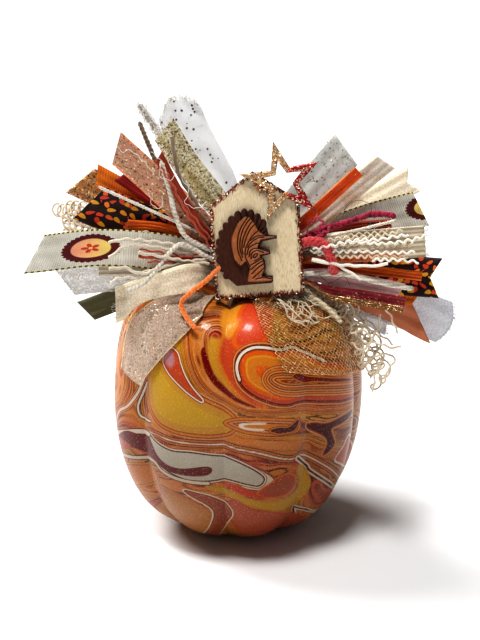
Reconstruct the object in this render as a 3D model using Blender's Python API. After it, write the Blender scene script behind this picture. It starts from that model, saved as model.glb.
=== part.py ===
"""A made craft pumpkin with a layered ribbon bow, a wooden house tag, a star and a hedgehog.

Every size is in millimetres and is scaled to metres where a mesh is made. The origin is the
centre of the flat spot that the pumpkin rests on, +Z is up and the front looks along -Y.
"""
import math
from dataclasses import dataclass

import bmesh
import bpy
from mathutils import Vector

MM = 0.001

# The pumpkin's body: its widest radius, how high that lies, and the rise above it
WIDEST_RADIUS = 63.0
WIDEST_HEIGHT = 68.0
UPPER_HEIGHT = 58.0
LOWER_POWER = 0.59
UPPER_POWER = 0.36
FLAT_RADIUS = 22.0
CREST_RADIUS = 30.0
DIMPLE_RADIUS = 8.5
DIMPLE_DEPTH = 13.0
GROOVES = (-86, -47, -6, 33, 73, 113, 153, 193, 233)
GROOVE_DEPTH = 3.3
GROOVE_SHARPNESS = 2.2
COLUMNS_PER_LOBE = 7
BODY_ROWS = 20
DIMPLE_ROWS = 4

# The stem under the bow, which leans towards the knot that sits on it
STEM_RADIUS = 7.2
STEM_WAIST = 6.2
STEM_WAIST_RISE = 4.5
STEM_WAIST_CENTRE = (2.0, -2.5)
STEM_TOP_CENTRE = (5.0, -6.0)
STEM_SIDES = 14
TOUCH_GAP = 0.3

# The bow's own frame: its centre, its lean backwards and the distance it is looked at from
BOW_CENTRE = Vector((9.5, -8.0, 137.5))
BOW_LEAN = math.radians(15)
VIEW_DISTANCE = 615.0
BOW_UP = Vector((0, math.sin(BOW_LEAN), math.cos(BOW_LEAN)))
BOW_OUT = Vector((0, -math.cos(BOW_LEAN), math.sin(BOW_LEAN)))
LAYER_STEP = 2.2
FAN_START = 20.0
FAN_SPREAD = 50.0
SKIN_CLEARANCE = 2.4
SKIN_STEP = 0.7
LOWEST_LAYER = -5

# The knot
KNOT_HALF_WIDTH = 10.0
KNOT_TOP = 11.0
KNOT_BOTTOM = -14.0
KNOT_BACK = -12.0
KNOT_FRONT = 17.9
KNOT_ROUNDING = 4.0

# The wooden tags, which lie in planes of the bow's frame
TAG_TURN = math.radians(3.7)
HOUSE_WIDTH = 41.4
HOUSE_WALL = 43.0
HOUSE_PEAK = 57.5
HOUSE_FOOT = (1.2, -14.8)
HOUSE_BACK = 18.2
HOUSE_THICK = 3.4
STAR_CENTRE = (11.4, 37.6)
STAR_TURN = math.radians(103)
STAR_OUTER = (18.8, 7.4)
STAR_HOLE = (9.8, 4.5)
STAR_THICK = 2.4
HEDGEHOG_CENTRE = (-4.6, 6.4)
HEDGEHOG_BACK_THICK = 1.9
HEDGEHOG_FRONT_THICK = 1.6
QUILL_RADII = (13.4, 17.2)
QUILL_CENTRE = (-0.9, 0.0)
QUILL_START = math.radians(232)
QUILL_END = math.radians(42)
QUILL_COUNT = 13
QUILL_HEIGHT = 1.3
QUILL_POINTS = 4
FACE_LINE = (
    (9.6, 7.4), (13.4, 6.9), (13.4, 5.6), (7.0, 4.2), (5.5, 1.4), (10.2, 0.2), (10.5, -1.6),
    (6.4, -2.5), (7.8, -4.2), (8.5, -8.2), (7.3, -11.0), (11.6, -11.4), (11.8, -14.0),
    (11.0, -14.8), (-5.0, -16.2),
)
TAN_LINE = (
    (-1.2, 15.4), (-4.6, 12.3), (-7.3, 6.4), (-7.5, 2.3), (-6.1, -4.1), (-3.2, -7.1),
    (-0.9, -5.0), (0.9, -8.2), (0.0, -14.4), (10.8, -13.9), (11.2, -12.3), (6.6, -11.7),
    (7.8, -8.2), (7.0, -4.0), (5.6, -2.1), (9.8, -1.2), (9.6, -0.3), (4.7, 1.0), (6.0, 4.8),
    (12.7, 6.1), (12.6, 6.5), (8.4, 6.7), (5.0, 9.0), (3.2, 12.2), (1.0, 15.0),
)

WOOD = ((0.42, 0.29, 0.17), 0.6, 0.0)


def finish(obj, colour, roughness=0.8, metallic=0.0):
    """Gives an object its own plain material."""
    material = bpy.data.materials.new(obj.name)
    material.use_nodes = True
    shader = material.node_tree.nodes["Principled BSDF"]
    shader.inputs["Base Color"].default_value = (*colour, 1.0)
    shader.inputs["Roughness"].default_value = roughness
    shader.inputs["Metallic"].default_value = metallic
    obj.data.materials.append(material)


def mesh_object(name, bm, colour, roughness=0.8, metallic=0.0, smooth=True):
    """Scales a bmesh from millimetres, faces it outwards and makes it an object."""
    bmesh.ops.recalc_face_normals(bm, faces=bm.faces)
    bmesh.ops.scale(bm, vec=(MM, MM, MM), verts=bm.verts)
    mesh = bpy.data.meshes.new(name)
    bm.to_mesh(mesh)
    bm.free()
    if smooth:
        mesh.shade_smooth()
        mesh.set_sharp_from_angle(angle=math.radians(35))
    obj = bpy.data.objects.new(name, mesh)
    bpy.context.collection.objects.link(obj)
    finish(obj, colour, roughness, metallic)
    return obj


def grid_solid(bm, top, bottom):
    """Closes two equal grids of points, one above the other, into one thin solid."""
    rows = len(top)
    columns = len(top[0])
    upper = [[bm.verts.new(point) for point in row] for row in top]
    lower = [[bm.verts.new(point) for point in row] for row in bottom]
    for i in range(rows - 1):
        for j in range(columns - 1):
            bm.faces.new((upper[i][j], upper[i][j + 1], upper[i + 1][j + 1], upper[i + 1][j]))
            bm.faces.new((lower[i][j], lower[i + 1][j], lower[i + 1][j + 1], lower[i][j + 1]))
    rim = [(0, j) for j in range(columns - 1)]
    rim += [(i, columns - 1) for i in range(rows - 1)]
    rim += [(rows - 1, j) for j in range(columns - 1, 0, -1)]
    rim += [(i, 0) for i in range(rows - 1, 0, -1)]
    for (a, b), (c, d) in zip(rim, rim[1:] + rim[:1]):
        bm.faces.new((upper[a][b], lower[a][b], lower[c][d], upper[c][d]))


def smooth_curve(points, count):
    """Reads count points, evenly numbered, from a smooth curve through the given ones."""
    route = [Vector(point) for point in points]
    route = [route[0] * 2 - route[1]] + route + [route[-1] * 2 - route[-2]]
    spans = len(points) - 1
    result = []
    for k in range(count):
        place = k / (count - 1) * spans
        i = min(int(place), spans - 1)
        t = place - i
        a, b, c, d = route[i:i + 4]
        result.append(
            (b * 2 + (c - a) * t + (a * 2 - b * 5 + c * 4 - d) * t**2
             + (b * 3 - a - c * 3 + d) * t**3) * 0.5
        )
    return result


def groove_share(azimuth):
    """Says how far an azimuth is into a groove: 1 at the crease, 0 at a lobe's crest."""
    turn = (azimuth - GROOVES[0]) % 360
    edges = [groove - GROOVES[0] for groove in GROOVES] + [360]
    for low, high in zip(edges, edges[1:]):
        if low <= turn < high:
            place = (turn - low) / (high - low)
            return (1 - min(place, 1 - place) * 2) ** GROOVE_SHARPNESS
    return 0.0


def profile(q):
    """Gives the body's radius and height: q is 0 at the stem, 1 at the crest, 2 at the foot."""
    if q < 1:
        rise = 0.5 - 0.5 * math.cos(math.pi * q)
        radius = DIMPLE_RADIUS + (CREST_RADIUS - DIMPLE_RADIUS) * q
        return radius, crest_height() - DIMPLE_DEPTH * (1 - rise)
    top = math.acos((CREST_RADIUS / WIDEST_RADIUS) ** (1 / UPPER_POWER))
    foot = -math.acos((FLAT_RADIUS / WIDEST_RADIUS) ** (1 / LOWER_POWER))
    angle = top + (foot - top) * (q - 1)
    if angle > 0:
        return (WIDEST_RADIUS * math.cos(angle) ** UPPER_POWER,
                WIDEST_HEIGHT + UPPER_HEIGHT * math.sin(angle))
    low = WIDEST_HEIGHT / math.sin(-foot)
    return WIDEST_RADIUS * math.cos(angle) ** LOWER_POWER, WIDEST_HEIGHT + low * math.sin(angle)


def crest_height():
    """Gives the height of the ring of lobe crests round the stem."""
    top = math.acos((CREST_RADIUS / WIDEST_RADIUS) ** (1 / UPPER_POWER))
    return WIDEST_HEIGHT + UPPER_HEIGHT * math.sin(top)


def skin(azimuth, q, lift=0.0, grooved=True):
    """Gives a point on the pumpkin's skin, raised from it by lift, with or without its grooves."""
    step = 0.004
    radius, height = profile(q)
    r_before, z_before = profile(max(q - step, 0))
    r_after, z_after = profile(min(q + step, 2))
    along = Vector((r_after - r_before, z_after - z_before)).normalized()
    out, up = -along.y, along.x
    fade = min(1, max(0, 2 - q) / 0.28, (q + 0.12) / 0.5)
    groove = GROOVE_DEPTH * groove_share(azimuth) * max(fade, 0) if grooved else 0.0
    inward = groove - lift
    radius -= inward * out
    height -= inward * up
    turn = math.radians(azimuth)
    return Vector((radius * math.sin(turn), -radius * math.cos(turn), height))


def skin_height(x, y):
    """Gives the height of the pumpkin's top at a place, with its grooves left out."""
    radius = math.hypot(x, y)
    if radius >= WIDEST_RADIUS - 0.5:
        return -math.inf
    if radius < CREST_RADIUS:
        share = max(radius - DIMPLE_RADIUS, 0) / (CREST_RADIUS - DIMPLE_RADIUS)
        return crest_height() - DIMPLE_DEPTH * (0.5 + 0.5 * math.cos(math.pi * share))
    angle = math.acos((radius / WIDEST_RADIUS) ** (1 / UPPER_POWER))
    return WIDEST_HEIGHT + UPPER_HEIGHT * math.sin(angle)


def make_pumpkin():
    """Builds the lobed body as one closed skin with a flat foot."""
    bm = bmesh.new()
    azimuths = []
    edges = list(GROOVES) + [GROOVES[0] + 360]
    for low, high in zip(edges, edges[1:]):
        azimuths += [low + (high - low) * k / COLUMNS_PER_LOBE for k in range(COLUMNS_PER_LOBE)]
    levels = [k / DIMPLE_ROWS for k in range(DIMPLE_ROWS)]
    levels += [1 + k / BODY_ROWS for k in range(BODY_ROWS + 1)]
    rings = [[bm.verts.new(skin(azimuth, q)) for azimuth in azimuths] for q in levels]
    count = len(azimuths)
    for above, below in zip(rings, rings[1:]):
        for k in range(count):
            after = (k + 1) % count
            bm.faces.new((above[k], above[after], below[after], below[k]))
    bm.faces.new(rings[-1])
    middle = bm.verts.new((0, 0, dimple_floor()))
    for k in range(count):
        bm.faces.new((rings[0][k], middle, rings[0][(k + 1) % count]))
    for vert in rings[-1]:
        vert.co.z = 0.0
    mesh_object("pumpkin", bm, (0.80, 0.28, 0.07), 0.35)


def dimple_floor():
    """Gives the mean height of the ring where the dimple meets the stem."""
    count = len(GROOVES) * COLUMNS_PER_LOBE
    return sum(skin(360 * k / count, 0).z for k in range(count)) / count


def make_stem():
    """Builds the short stem stub, cut off along the underside of the knot that it carries."""
    bm = bmesh.new()
    base = dimple_floor() + TOUCH_GAP
    knot_under = KNOT_BOTTOM - TOUCH_GAP
    loops = []
    for centre, radius, rise in (((0, 0), STEM_RADIUS, 0.0),
                                 (STEM_WAIST_CENTRE, STEM_WAIST, STEM_WAIST_RISE),
                                 (STEM_TOP_CENTRE, STEM_WAIST, None)):
        loop = []
        for k in range(STEM_SIDES):
            x = centre[0] + radius * math.cos(math.tau * k / STEM_SIDES)
            y = centre[1] + radius * math.sin(math.tau * k / STEM_SIDES)
            back = (y - BOW_CENTRE.y) * math.sin(BOW_LEAN)
            cut = BOW_CENTRE.z + (knot_under - back) / math.cos(BOW_LEAN)
            loop.append(bm.verts.new((x, y, cut if rise is None else base + rise)))
        loops.append(loop)
    for low, high in zip(loops, loops[1:]):
        bmesh.ops.bridge_loops(bm, edges=loop_edges(bm, low) + loop_edges(bm, high))
    bm.faces.new(loops[0])
    bm.faces.new(loops[-1])
    mesh_object("stem", bm, (0.23, 0.15, 0.08), 0.8)


def loop_edges(bm, loop):
    """Gives the edges of a closed ring of vertices, made where they are missing."""
    pairs = zip(loop, loop[1:] + loop[:1])
    return [bm.edges.get(pair) or bm.edges.new(pair) for pair in pairs]


def bow_point(across, up, out):
    """Gives the place of a point of the bow's frame, with its size as seen from the front."""
    size = 1 - out / VIEW_DISTANCE
    return BOW_CENTRE + Vector((across * size, 0, 0)) + BOW_UP * (up * size) + BOW_OUT * out


def layer_depth(across, up, layer):
    """Gives how far forward a layer of the fan lies: the layers part as they leave the knot."""
    reach = max(math.hypot(across, up) - FAN_START, 0)
    return layer * LAYER_STEP * (1 + reach / FAN_SPREAD)


def fan_point(across, up, layer, ripple=0.0):
    """Gives a point of the fan, lifted over the pumpkin's shoulder where it would touch it."""
    place = bow_point(across, up, layer_depth(across, up, layer) + ripple)
    ground = skin_height(place.x, place.y)
    if ground > 0:
        floor = ground + SKIN_CLEARANCE + SKIN_STEP * (layer - LOWEST_LAYER)
        gap = place.z - floor
        softness = 1.5
        place.z = floor + 0.5 * (gap + math.hypot(gap, softness))
    return place


def make_knot():
    """Builds the gathered middle of the bow as a rounded block."""
    bm = bmesh.new()
    bmesh.ops.create_cube(bm, size=1)
    bmesh.ops.scale(bm, verts=bm.verts, vec=(KNOT_HALF_WIDTH * 2, KNOT_FRONT - KNOT_BACK,
                                             KNOT_TOP - KNOT_BOTTOM))
    bmesh.ops.bevel(bm, geom=bm.edges, offset=KNOT_ROUNDING, segments=3, profile=0.5,
                    affect="EDGES", material=-1)
    middle_out = 0.5 * (KNOT_FRONT + KNOT_BACK)
    middle_up = 0.5 * (KNOT_TOP + KNOT_BOTTOM)
    for vert in bm.verts:
        across, out, up = vert.co.x, middle_out - vert.co.y, middle_up + vert.co.z
        vert.co = BOW_CENTRE + Vector((across, 0, 0)) + BOW_UP * up + BOW_OUT * out
    mesh_object("bow_knot", bm, (0.62, 0.52, 0.40), 0.9)


def tag_point(local, out, centre):
    """Places a point of a tag, which is turned a little in the bow's plane."""
    across = centre[0] + local[0]
    up = centre[1] + local[1]
    return BOW_CENTRE + Vector((across, 0, 0)) + BOW_UP * up + BOW_OUT * out


def turned(point, angle):
    """Turns a flat point about the origin."""
    cosine = math.cos(angle)
    sine = math.sin(angle)
    return point[0] * cosine - point[1] * sine, point[0] * sine + point[1] * cosine


def plate(name, outline, centre, back, thick, colour, roughness):
    """Builds a flat plate from an outline in the bow's plane."""
    bm = bmesh.new()
    face = bm.faces.new([bm.verts.new(tag_point(p, back, centre)) for p in outline])
    raised = bmesh.ops.extrude_face_region(bm, geom=[face])
    verts = [item for item in raised["geom"] if isinstance(item, bmesh.types.BMVert)]
    bmesh.ops.translate(bm, verts=verts, vec=BOW_OUT * thick)
    bmesh.ops.triangulate(bm, faces=bm.faces)
    mesh_object(name, bm, colour, roughness, smooth=False)


def make_house():
    """Cuts the house tag: two walls and a gable, leaning a few degrees to the left."""
    half = HOUSE_WIDTH / 2
    outline = [(-half, 0), (half, 0), (half, HOUSE_WALL), (0, HOUSE_PEAK), (-half, HOUSE_WALL)]
    outline = [turned(point, TAG_TURN) for point in outline]
    plate("house_tag", outline, HOUSE_FOOT, HOUSE_BACK, HOUSE_THICK, *WOOD[:2])


def star_ring(radii):
    """Gives the ten corners of a star with the given tip and notch radii."""
    corners = []
    for k in range(10):
        angle = STAR_TURN - math.pi * k / 5
        corners.append((radii[k % 2] * math.cos(angle), radii[k % 2] * math.sin(angle)))
    return corners


def make_star():
    """Builds the open star, a band between two like outlines, glued on the house."""
    back = HOUSE_BACK + HOUSE_THICK + TOUCH_GAP
    bm = bmesh.new()
    rings = []
    for out in (back, back + STAR_THICK):
        for radii in (STAR_OUTER, STAR_HOLE):
            corners = [tag_point(p, out, STAR_CENTRE) for p in star_ring(radii)]
            rings.append([bm.verts.new(corner) for corner in corners])
    for first, second in ((0, 1), (1, 3), (3, 2), (2, 0)):
        for k in range(10):
            after = (k + 1) % 10
            bm.faces.new((rings[first][k], rings[first][after], rings[second][after],
                          rings[second][k]))
    mesh_object("star_outline", bm, (0.55, 0.24, 0.16), 0.35, 0.3, smooth=False)


def quill_edge():
    """Gives the scalloped edge of the hedgehog's back, from its tail round to its brow."""
    points = []
    sweep = QUILL_END - QUILL_START
    total = QUILL_COUNT * QUILL_POINTS
    for k in range(total + 1):
        angle = QUILL_START + sweep * k / total
        bulge = QUILL_HEIGHT * (abs(math.sin(math.pi * k / QUILL_POINTS)) ** 0.7 - 0.5)
        points.append((QUILL_CENTRE[0] + (QUILL_RADII[0] + bulge) * math.cos(angle),
                       QUILL_CENTRE[1] + (QUILL_RADII[1] + bulge) * math.sin(angle)))
    return points


def make_hedgehog():
    """Cuts the two layers of the hedgehog: the scalloped back and the smaller front."""
    back = HOUSE_BACK + HOUSE_THICK + TOUCH_GAP
    outline = quill_edge() + list(FACE_LINE)
    plate("hedgehog_back", outline, HEDGEHOG_CENTRE, back, HEDGEHOG_BACK_THICK,
          (0.12, 0.05, 0.03), 0.6)
    front = back + HEDGEHOG_BACK_THICK + TOUCH_GAP
    plate("hedgehog_front", list(TAN_LINE), HEDGEHOG_CENTRE, front, HEDGEHOG_FRONT_THICK,
          (0.36, 0.17, 0.08), 0.6)


@dataclass
class Strip:
    """A flat length of ribbon, tulle or lace that leaves the knot in one layer of the fan.

    Its route runs from the knot outwards, in the bow's plane. The end is cut square, slanted,
    to a point or to a notch: slant moves the upper corner out, and notch pulls the middle in.
    """

    name: str
    layer: float
    route: tuple
    width: float
    colour: tuple
    slant: float = 0.0
    notch: float = 0.0
    tilt: float = 0.0
    ripple: float = 0.6
    waves: float = 1.0
    phase: float = 0.0
    pinch: float = 5.0
    roughness: float = 0.6
    thick: float = 0.7


STRIP_STATIONS = 11
STRIP_COLUMNS = 4


def strip_surface(strip, stations, columns):
    """Gives the grid of points of a strip's middle surface."""
    line = smooth_curve([(*point, 0) for point in strip.route], stations)
    grid = []
    for i, middle in enumerate(line):
        share = i / (stations - 1)
        ahead = line[min(i + 1, stations - 1)] - line[max(i - 1, 0)]
        along = ahead.normalized()
        side = Vector((-along.y, along.x, 0))
        if side.y < 0:
            side = -side
        opening = min(share / 0.42, 1)
        opening = opening * opening * (3 - 2 * opening)
        width = strip.pinch + (strip.width - strip.pinch) * opening
        row = []
        for j in range(columns):
            place = 2 * j / (columns - 1) - 1
            cut = strip.slant * 0.5 * place - strip.notch * (1 - abs(place))
            point = middle + side * (place * width / 2) + along * (cut * max(share - 0.6, 0) / 0.4)
            curl = strip.ripple * math.sin(math.tau * strip.waves * share + strip.phase)
            lean = math.sin(math.radians(strip.tilt)) * place * width / 2
            row.append(fan_point(point.x, point.y, strip.layer, (curl + lean) * opening))
        grid.append(row)
    return grid


def thicken(grid, thick):
    """Gives the two faces of a sheet, half its thickness to each side of its middle."""
    rows = len(grid)
    columns = len(grid[0])
    faces = ([], [])
    for i in range(rows):
        upper = []
        lower = []
        for j in range(columns):
            along = grid[min(i + 1, rows - 1)][j] - grid[max(i - 1, 0)][j]
            side = grid[i][min(j + 1, columns - 1)] - grid[i][max(j - 1, 0)]
            normal = along.cross(side).normalized() * (thick / 2)
            upper.append(grid[i][j] + normal)
            lower.append(grid[i][j] - normal)
        faces[0].append(upper)
        faces[1].append(lower)
    return faces


def make_strip(strip):
    """Builds one strip of the fan as a thin closed solid."""
    top, bottom = thicken(strip_surface(strip, STRIP_STATIONS, STRIP_COLUMNS), strip.thick)
    bm = bmesh.new()
    grid_solid(bm, top, bottom)
    mesh_object(strip.name, bm, strip.colour, strip.roughness)


def make_cord(name, points, diameter, colour, spacing=2.6):
    """Lays a cord through its route as a round tube with filled ends."""
    rough = smooth_curve(points, 12 * len(points))
    length = sum((b - a).length for a, b in zip(rough, rough[1:]))
    count = max(int(length / (diameter * spacing)), 6)
    walked = [0.0]
    for a, b in zip(rough, rough[1:]):
        walked.append(walked[-1] + (b - a).length)
    even = []
    k = 0
    for step in range(count + 1):
        target = length * step / count
        while k < len(rough) - 2 and walked[k + 1] < target:
            k += 1
        share = (target - walked[k]) / max(walked[k + 1] - walked[k], 1e-6)
        even.append(rough[k].lerp(rough[k + 1], min(share, 1)))
    curve = bpy.data.curves.new(name, "CURVE")
    curve.dimensions = "3D"
    curve.bevel_depth = diameter / 2 * MM
    curve.bevel_resolution = 2
    curve.use_fill_caps = True
    spline = curve.splines.new("POLY")
    spline.points.add(len(even) - 1)
    for target, point in zip(spline.points, even):
        target.co = (point.x * MM, point.y * MM, point.z * MM, 1)
    obj = bpy.data.objects.new(name, curve)
    bpy.context.collection.objects.link(obj)
    finish(obj, colour, 0.9)


@dataclass
class FanCord:
    """A cord of the fan: its layer, its route in the bow's plane and its diameter."""

    name: str
    layer: float
    route: tuple
    diameter: float
    colour: tuple


def make_fan_cord(cord):
    """Lays one cord of the fan."""
    line = smooth_curve([(*point, 0) for point in cord.route], 6 * len(cord.route))
    points = [fan_point(point.x, point.y, cord.layer) for point in line]
    make_cord(cord.name, points, cord.diameter, cord.colour, 2.2)


@dataclass
class Drape:
    """A loose piece that lies on the pumpkin: rows of (azimuth, level) places, root first."""

    name: str
    left: tuple
    right: tuple
    lift: float
    colour: tuple


DRAPE_COLUMNS = 7
DRAPE_ROWS = 13
DRAPE_THICK = 0.7


def make_drape(drape):
    """Builds a sheet between two edges that run down the pumpkin's skin."""
    left = smooth_curve([(*point, 0) for point in drape.left], DRAPE_ROWS)
    right = smooth_curve([(*point, 0) for point in drape.right], DRAPE_ROWS)
    grid = []
    for a, b in zip(left, right):
        row = []
        for j in range(DRAPE_COLUMNS):
            place = a.lerp(b, j / (DRAPE_COLUMNS - 1))
            row.append(skin(place.x, place.y, drape.lift, grooved=False))
        grid.append(row)
    top, bottom = thicken(grid, DRAPE_THICK)
    bm = bmesh.new()
    grid_solid(bm, top, bottom)
    mesh_object(drape.name, bm, drape.colour, 0.6)


def make_drape_cord(name, route, diameter, colour):
    """Lays a cord down the pumpkin through (azimuth, level, lift) places."""
    line = smooth_curve(route, 6 * len(route))
    points = [skin(place.x, place.y, place.z, grooved=False) for place in line]
    make_cord(name, points, diameter, colour, 2.2)


CREAM = (0.80, 0.72, 0.58)
IVORY = (0.85, 0.79, 0.68)
ORANGE = (0.85, 0.25, 0.04)
BURGUNDY = (0.30, 0.02, 0.04)
DARK = (0.08, 0.03, 0.02)
GREY = (0.60, 0.58, 0.55)
GOLD = (0.55, 0.40, 0.15)
COPPER = (0.72, 0.33, 0.14)

LEFT_STRIPS = (
    Strip("white_tulle_loop", -3, ((-7, 13), (-18, 34), (-31, 58), (-39, 76)), 21, (0.9, 0.9, 0.9),
          notch=-5, tilt=10, pinch=7),
    Strip("gold_tulle_left", 0, ((-9, 13), (-19, 28), (-33, 46), (-44, 63)), 13, GOLD,
          slant=4, tilt=-12, ripple=1.0),
    Strip("red_orange_ribbon", 5.9, ((-10.5, 9), (-24, 14), (-36, 31), (-47, 51)), 5, ORANGE,
          tilt=10, slant=3, pinch=3),
    Strip("copper_ribbon_left", 4.9, ((-11.5, 6.5), (-27, 18), (-47, 37), (-67, 55)), 14, COPPER,
          slant=7, tilt=8, pinch=4),
    Strip("peach_ribbon_left", -1, ((-11.5, 5), (-32, 13), (-58, 27), (-84, 39)), 16,
          (0.80, 0.50, 0.33), slant=-8, tilt=-8),
    Strip("orange_grosgrain_left", 1, ((-11.5, 7), (-30, 16), (-52, 28), (-76, 41)), 11, ORANGE,
          slant=5, tilt=6),
    Strip("burgundy_ribbon_left", 2, ((-10.5, 11), (-27, 19), (-45, 29), (-64, 42)), 9, BURGUNDY,
          slant=-4, tilt=-8),
    Strip("leaf_ribbon_left", 2.8, ((-11.5, 0), (-33, 10), (-56, 19), (-80, 29)), 20, DARK,
          slant=-9, tilt=5, pinch=4),
    Strip("orange_satin_left", 3.7, ((-11.5, 1), (-27, 11), (-44, 17), (-62, 19)), 4.5,
          (0.9, 0.34, 0.08), tilt=15, pinch=3),
    Strip("beige_fringe_left", -4, ((-11.5, 2), (-38, 11), (-66, 20), (-97, 26)), 15, CREAM,
          slant=4, tilt=10, ripple=1.4, waves=2),
    Strip("motif_ribbon_left", 4.6, ((-11.5, -4), (-35, 4), (-72, 8), (-107, 5)), 17.5, IVORY,
          slant=-12, tilt=-2, ripple=0.5, pinch=4),
    Strip("muslin_strip_left", 3.9, ((-11.5, -7), (-32, -1), (-54, 1), (-76, 1)), 13, CREAM,
          tilt=2, ripple=0.5, pinch=4),
    Strip("silver_organza_left", 0.6, ((-11.5, -3), (-34, -4), (-62, -6), (-92, -9)), 13, GREY,
          slant=8, tilt=10),
    Strip("ivory_ribbon_left", 1.9, ((-11.5, -9.5), (-30, -9), (-50, -15), (-68, -22)), 15, IVORY,
          slant=-6, tilt=8, pinch=4),
    Strip("olive_ribbon_left", -2, ((-11.5, -5), (-34, -8), (-60, -15), (-82, -23)), 11,
          (0.28, 0.26, 0.16), slant=5, tilt=-10),
)

RIGHT_STRIPS = (
    Strip("silver_satin_right", 1, ((8, 13), (17, 24), (29, 42), (39, 57)), 20, GREY,
          notch=-7, tilt=-10, pinch=6, roughness=0.35),
    Strip("velvet_ribbon_right", 5, ((10.5, 11), (21, 19), (34, 31), (48, 44)), 5.5, ORANGE,
          tilt=12, pinch=4),
    Strip("ivory_print_ribbon", 2, ((11.5, 9), (27, 20), (44, 34), (61, 48)), 10, IVORY,
          slant=-3, tilt=8),
    Strip("ivory_edge_ribbon", -1, ((11.5, 7), (31, 17), (52, 28), (75, 40)), 13, IVORY,
          notch=4, tilt=-10),
    Strip("motif_ribbon_right", 0.2, ((11.5, 4), (32, 12), (55, 20), (78, 26)), 17.5, IVORY,
          slant=-4, tilt=8),
    Strip("rust_bead_strip", 3, ((11.5, 6), (28, 13), (46, 17.5), (64, 19)), 4.5,
          (0.45, 0.14, 0.08), tilt=14, pinch=3),
    Strip("muslin_strip_right", 4, ((11.5, 2), (33, 7), (56, 9), (80, 11)), 15, CREAM,
          tilt=-6, ripple=1.0, waves=2, pinch=4),
    Strip("coral_chenille", 7.3, ((13, 3), (22, 10), (31, 10), (35, 3), (37, -5)), 5,
          (0.80, 0.16, 0.14), tilt=8, pinch=4, ripple=0.2),
    Strip("olive_ribbon_right", -2, ((11.5, -1), (34, 3), (56, 6), (77, 7)), 9,
          (0.30, 0.29, 0.20), slant=5, tilt=12),
    Strip("leaf_ribbon_right", 1, ((11.5, -3), (36, -3), (62, -5), (88, -7)), 19, DARK,
          notch=5, tilt=-6, pinch=4),
    Strip("orange_satin_right", 2.2, ((11.5, -1), (35, -1), (58, -3.5), (79, -6)), 4.5,
          (0.9, 0.34, 0.08), tilt=10, pinch=3),
    Strip("mauve_satin_right", 3.2, ((11.5, -5), (30, -6), (50, -9), (69, -13)), 8,
          (0.48, 0.25, 0.26), slant=3, tilt=10, pinch=3),
    Strip("burgundy_glitter_right", 4.4, ((11.5, -8.5), (31, -12.5), (51, -15), (71, -18)), 5,
          BURGUNDY, tilt=8, pinch=3),
    Strip("gold_trim_right", 5.6, ((11.5, -10.5), (32, -15.5), (51, -18.5), (70, -21.5)), 3, GOLD,
          pinch=2.5, tilt=8),
    Strip("orange_grosgrain_right", 0, ((11.5, -6), (33, -8), (55, -12), (77, -16)), 9, ORANGE,
          slant=4, tilt=-8),
    Strip("copper_satin_right", -1.3, ((11.5, -8), (36, -10), (62, -17), (85, -28)), 20, COPPER,
          slant=-3, tilt=5, pinch=4, roughness=0.35),
    Strip("white_tulle_right", -2.7, ((11.5, -9), (31, -13), (48, -20), (63, -28)), 13,
          (0.88, 0.88, 0.88), slant=-5, tilt=-8, pinch=4),
    Strip("grey_tulle_right", -3.8, ((11.5, -4), (40, -10), (68, -20), (94, -30)), 21, GREY,
          notch=-4, tilt=10),
    Strip("beige_fringe_right", 1.9, ((11, -12), (31, -16), (48, -31), (56, -47), (60, -60)), 13,
          CREAM, slant=4, ripple=1.0, waves=2, pinch=3),
)

FAN_CORDS = (
    FanCord("white_twine_left", 6.9, ((-12, 3), (-25, 8), (-35, 14), (-40, 26), (-42, 35),
                                      (-46, 49)), 2.5, CREAM),
    FanCord("white_twine_branch", 6.9, ((-12, -2), (-24, 3.5), (-36, 9.5), (-43, 4.5), (-49, -3),
                                        (-55, -9), (-63, -13)), 2.5, CREAM),
    FanCord("grey_twine_left", 3.1, ((-8, 13.5), (-24, 22), (-38, 33), (-47, 46), (-56, 67)), 2.4,
            (0.35, 0.30, 0.25)),
    FanCord("fuzzy_yarn_left", -1.6, ((-8, 14), (-24, 32), (-40, 52), (-56, 75)), 3.0,
            (0.75, 0.73, 0.70)),
    FanCord("pale_cord_left", 0, ((-12, 9), (-32, 17), (-54, 27), (-76, 37)), 1.6, CREAM),
    FanCord("rust_yarn_left", 5.7, ((-12, -1), (-26, 2), (-40, 3), (-57, 4)), 2.4,
            (0.45, 0.15, 0.08)),
    FanCord("burgundy_yarn_right", 5.2, ((12, 5), (27, 15), (43, 20), (56, 24), (66, 23)), 3.0,
            (0.42, 0.04, 0.12)),
    FanCord("white_string_right", 6.3, ((12.5, 8), (28, 12), (46, 16), (66, 21)), 1.6, IVORY),
    FanCord("orange_roving_right", 5.2, ((12, 1.5), (30, 2.2), (50, 2.8), (70, 4)), 3.0, ORANGE),
    FanCord("cotton_cord_right", 5.6, ((12.5, -5.5), (30, -4.5), (45, -5.5), (60, -9), (75, -11.5)),
            2.5, IVORY),
)

DRAPES = (
    Drape("speckled_organza", ((-52, 0.25), (-60, 1.02), (-66, 1.2), (-62, 1.36)),
          ((-24, 0.25), (-22, 1.0), (-22, 1.12), (-46, 1.38)), 1.5, CREAM),
    Drape("gold_net", ((12, 0.85), (13, 1.0), (15, 1.14), (23, 1.3)),
          ((76, 0.75), (84, 1.0), (86, 1.2), (84, 1.33)), 1.2, GOLD),
)


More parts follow.
